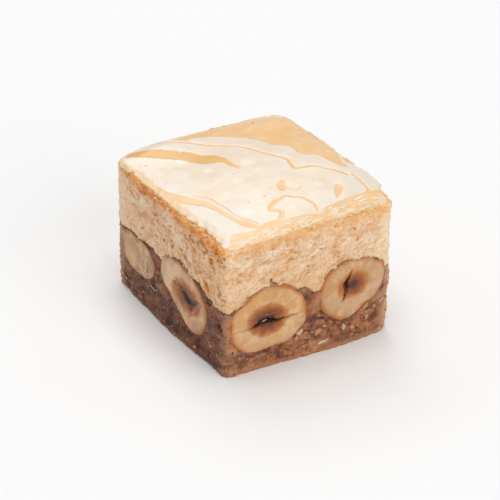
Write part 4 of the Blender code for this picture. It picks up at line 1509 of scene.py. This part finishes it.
# How many, on which layer, between which heights, how they gather, and their least and most size.
for count, layer_tree, low, high, keep, least, largest in (
        (330, sponge_tree, 13.5, 21.9, near_crust, 0.05, 0.12),
        (110, sponge_tree, 11.0, 15.0, anywhere, 0.05, 0.1),
        (50, paste_tree, 0.5, 11.0, anywhere, 0.04, 0.08)):
    for _ in range(count):
        spot, way = draw_place(layer_tree, low, high, keep)
        add_bead(spot, way, draws.uniform(least, largest))
for _ in range(210):
    x = draws.uniform(-13.2, 13.8)
    y = -17.1 + 2.3 * draws.random() ** 1.5
    spot, way = on_sheet(x, y)
    if spot is not None:
        add_bead(spot, way, draws.uniform(0.05, 0.13))
# Drops drawn out in strokes on the strip, palest of all, as painted glints: x, y, half length and width.
for x, y, length, width in (
        (9.9, -14.8, 0.95, 0.17), (10.1, -15.5, 0.8, 0.15), (9.3, -16.0, 0.3, 0.1), (6.6, -15.8, 0.45, 0.12),
        (5.2, -16.2, 0.35, 0.1), (4.6, -15.2, 0.3, 0.12), (0.2, -15.7, 0.28, 0.13), (-0.9, -16.0, 0.22, 0.11),
        (-5.2, -15.9, 0.3, 0.1), (-9.6, -15.6, 0.35, 0.12), (-11.2, -15.0, 0.25, 0.12)):
    spot, _ = on_sheet(x, y)
    add_bit(beads, bead_tone, spot, Vector((0, 0, 1)), 0.03 * x, (length, width, 0.07), 0.1, 0.0, 3, 0.3)
# Painted glints: pale beads in the wet hearts of the two nuts at the front: across, up, size.
for across, up, size in (
        (-8.1, 8.1, 0.12), (-7.8, 8.18, 0.1), (-8.4, 8.05, 0.07), (-7.2, 8.7, 0.06), (4.9, 9.1, 0.06)):
    spot = side_spot("front", across, up, -0.35)
    add_bead(spot, Vector((0, -1, 0)), size)

# Painted glints: the beads' near-white colours stand for highlights.
PAINTED_GLINT_PALE = (1.0, 0.93, 0.80, 1)
PAINTED_GLINT_GOLD = (1.0, 0.80, 0.55, 1)
glint_bead_material, tree, shader = food_material("syrup bead painted glint")
shader.inputs["Coat Weight"].default_value = 1.0
shader.inputs["Coat Roughness"].default_value = 0.03
colour = mixed(tree, mask_of(tree, "tone"), PAINTED_GLINT_PALE, PAINTED_GLINT_GOLD)
coat(tree, shader, colour, dampened(tree, place_of(tree), 0.0003, 0.12, 0.05))
finish_piece(beads, "syrup_beads_painted_glints", glint_bead_material, None)

# Two fine white strands of nut that the knife pulled out over the half at the back of the left side.
STRANDS = (
    ((-9.8, 5.3), (-8.7, 5.7), (-7.6, 6.2), (-6.9, 7.0), (-6.7, 7.8), (-6.8, 8.5), (-6.1, 9.2), (-5.4, 10.0)),
    ((-6.3, 5.5), (-5.4, 5.0), (-4.4, 4.9), (-3.5, 4.8)),
)
STRAND_RADII = (0.085, 0.05)
STRAND_SIDES = 6
STRAND_PALE = (0.84, 0.74, 0.62, 1)
strands = bmesh.new()
for route, radius in zip(STRANDS, STRAND_RADII):
    places = [side_spot("left", across, up, 0.12 + 0.05 * noise.noise(Vector((across, up, 0)) * 2))
              for across, up in smooth_route(route, steps=5)]
    ring = bmesh.ops.create_circle(strands, cap_ends=True, segments=STRAND_SIDES, radius=1)["verts"]
    edges = list({edge for vertex in ring for edge in vertex.link_edges})
    turns = [Matrix.Rotation(math.tau * step / STRAND_SIDES, 3, "Z") @ Vector((1, 0, 0))
             for step in range(STRAND_SIDES)]
    for number, spot in enumerate(places):
        if number:
            ring, edges = grow_ring(strands, edges)
        along = places[min(number + 1, len(places) - 1)] - places[max(number - 1, 0)]
        stand = along.to_track_quat("Z", "Y").to_matrix()
        thin = radius * (0.4 + 0.6 * math.sin(math.pi * (number + 0.5) / len(places)))
        for vertex, turn in zip(ring, turns):
            vertex.co = spot + stand @ turn * thin
close_skin(strands)
strand_material, tree, shader = food_material("nut strand", 0.3, 0.0003, (1.0, 0.8, 0.6))
place = place_of(tree)
colour = mixed(tree, ranged(tree, speckle(tree, place, 0.0006), 0.4, 0.7), STRAND_PALE, FLESH_PALE)
coat(tree, shader, colour, dampened(tree, place, 0.0005, 0.4, 0.2))
finish_piece(strands, "nut_strands", strand_material, None)

# ---------------------------------------------------------------------------------------------
# The table it stands on, the studio light round it and the camera.

FLOOR_RADIUS = 6  # metres
LIGHT_DISTANCE = 1.5  # metres from the block to each light
floor_mesh = bmesh.new()
bmesh.ops.create_circle(floor_mesh, cap_ends=True, radius=FLOOR_RADIUS, segments=64)
mesh = bpy.data.meshes.new("table_top")
floor_mesh.to_mesh(mesh)
floor_mesh.free()
floor = bpy.data.objects.new("table_top", mesh)
bpy.context.scene.collection.objects.link(floor)
floor_material = bpy.data.materials.new("pale table")
floor_material.use_nodes = True
floor_shader = floor_material.node_tree.nodes["Principled BSDF"]
floor_shader.inputs["Base Color"].default_value = (0.9, 0.9, 0.9, 1)
floor_shader.inputs["Roughness"].default_value = 0.7
floor_shader.inputs["Specular IOR Level"].default_value = 0.2
mesh.materials.append(floor_material)

TARGET = Vector((-1.281, -1.624, 10.793)) * MM
EYE = Vector((-167.723, -281.390, 193.871)) * MM
CAMERA_ROLL = 0.221  # degrees


def add_light(name, azimuth, elevation, size, power):
    """A square soft light that looks at the block. Azimuth 0 is in front, 90 at the right."""
    lamp = bpy.data.lights.new(name, "AREA")
    lamp.shape = "SQUARE"
    lamp.size = size
    lamp.energy = power
    light = bpy.data.objects.new(name, lamp)
    turn, lift = math.radians(azimuth), math.radians(elevation)
    away = Vector((math.sin(turn) * math.cos(lift), -math.cos(turn) * math.cos(lift), math.sin(lift)))
    light.location = TARGET + away * LIGHT_DISTANCE
    light.rotation_euler = away.to_track_quat("Z", "Y").to_euler()
    bpy.context.scene.collection.objects.link(light)


add_light("softbox overhead", 0, 89, 1.2, 9.6)
add_light("softbox behind", 165, 50, 0.8, 5.3)
add_light("lamp behind on the left", 215, 30, 0.8, 0.9)
add_light("softbox in front", 10, 25, 1.2, 7.8)

world = bpy.data.worlds.new("white room")
world.use_nodes = True
sky = world.node_tree.nodes["Background"]
sky.inputs["Color"].default_value = (1, 1, 1, 1)
sky.inputs["Strength"].default_value = 0.415
bpy.context.scene.world = world

lens = bpy.data.cameras.new("camera")
lens.lens = 172.90
lens.sensor_width = 36
lens.clip_start = 0.01
camera = bpy.data.objects.new("camera", lens)
camera.location = EYE
turn = (EYE - TARGET).to_track_quat("Z", "Y").to_matrix()
camera.rotation_euler = (turn @ Matrix.Rotation(math.radians(CAMERA_ROLL), 3, "Z")).to_euler()
bpy.context.scene.collection.objects.link(camera)
bpy.context.scene.camera = camera
bpy.context.scene.view_settings.view_transform = "Standard"
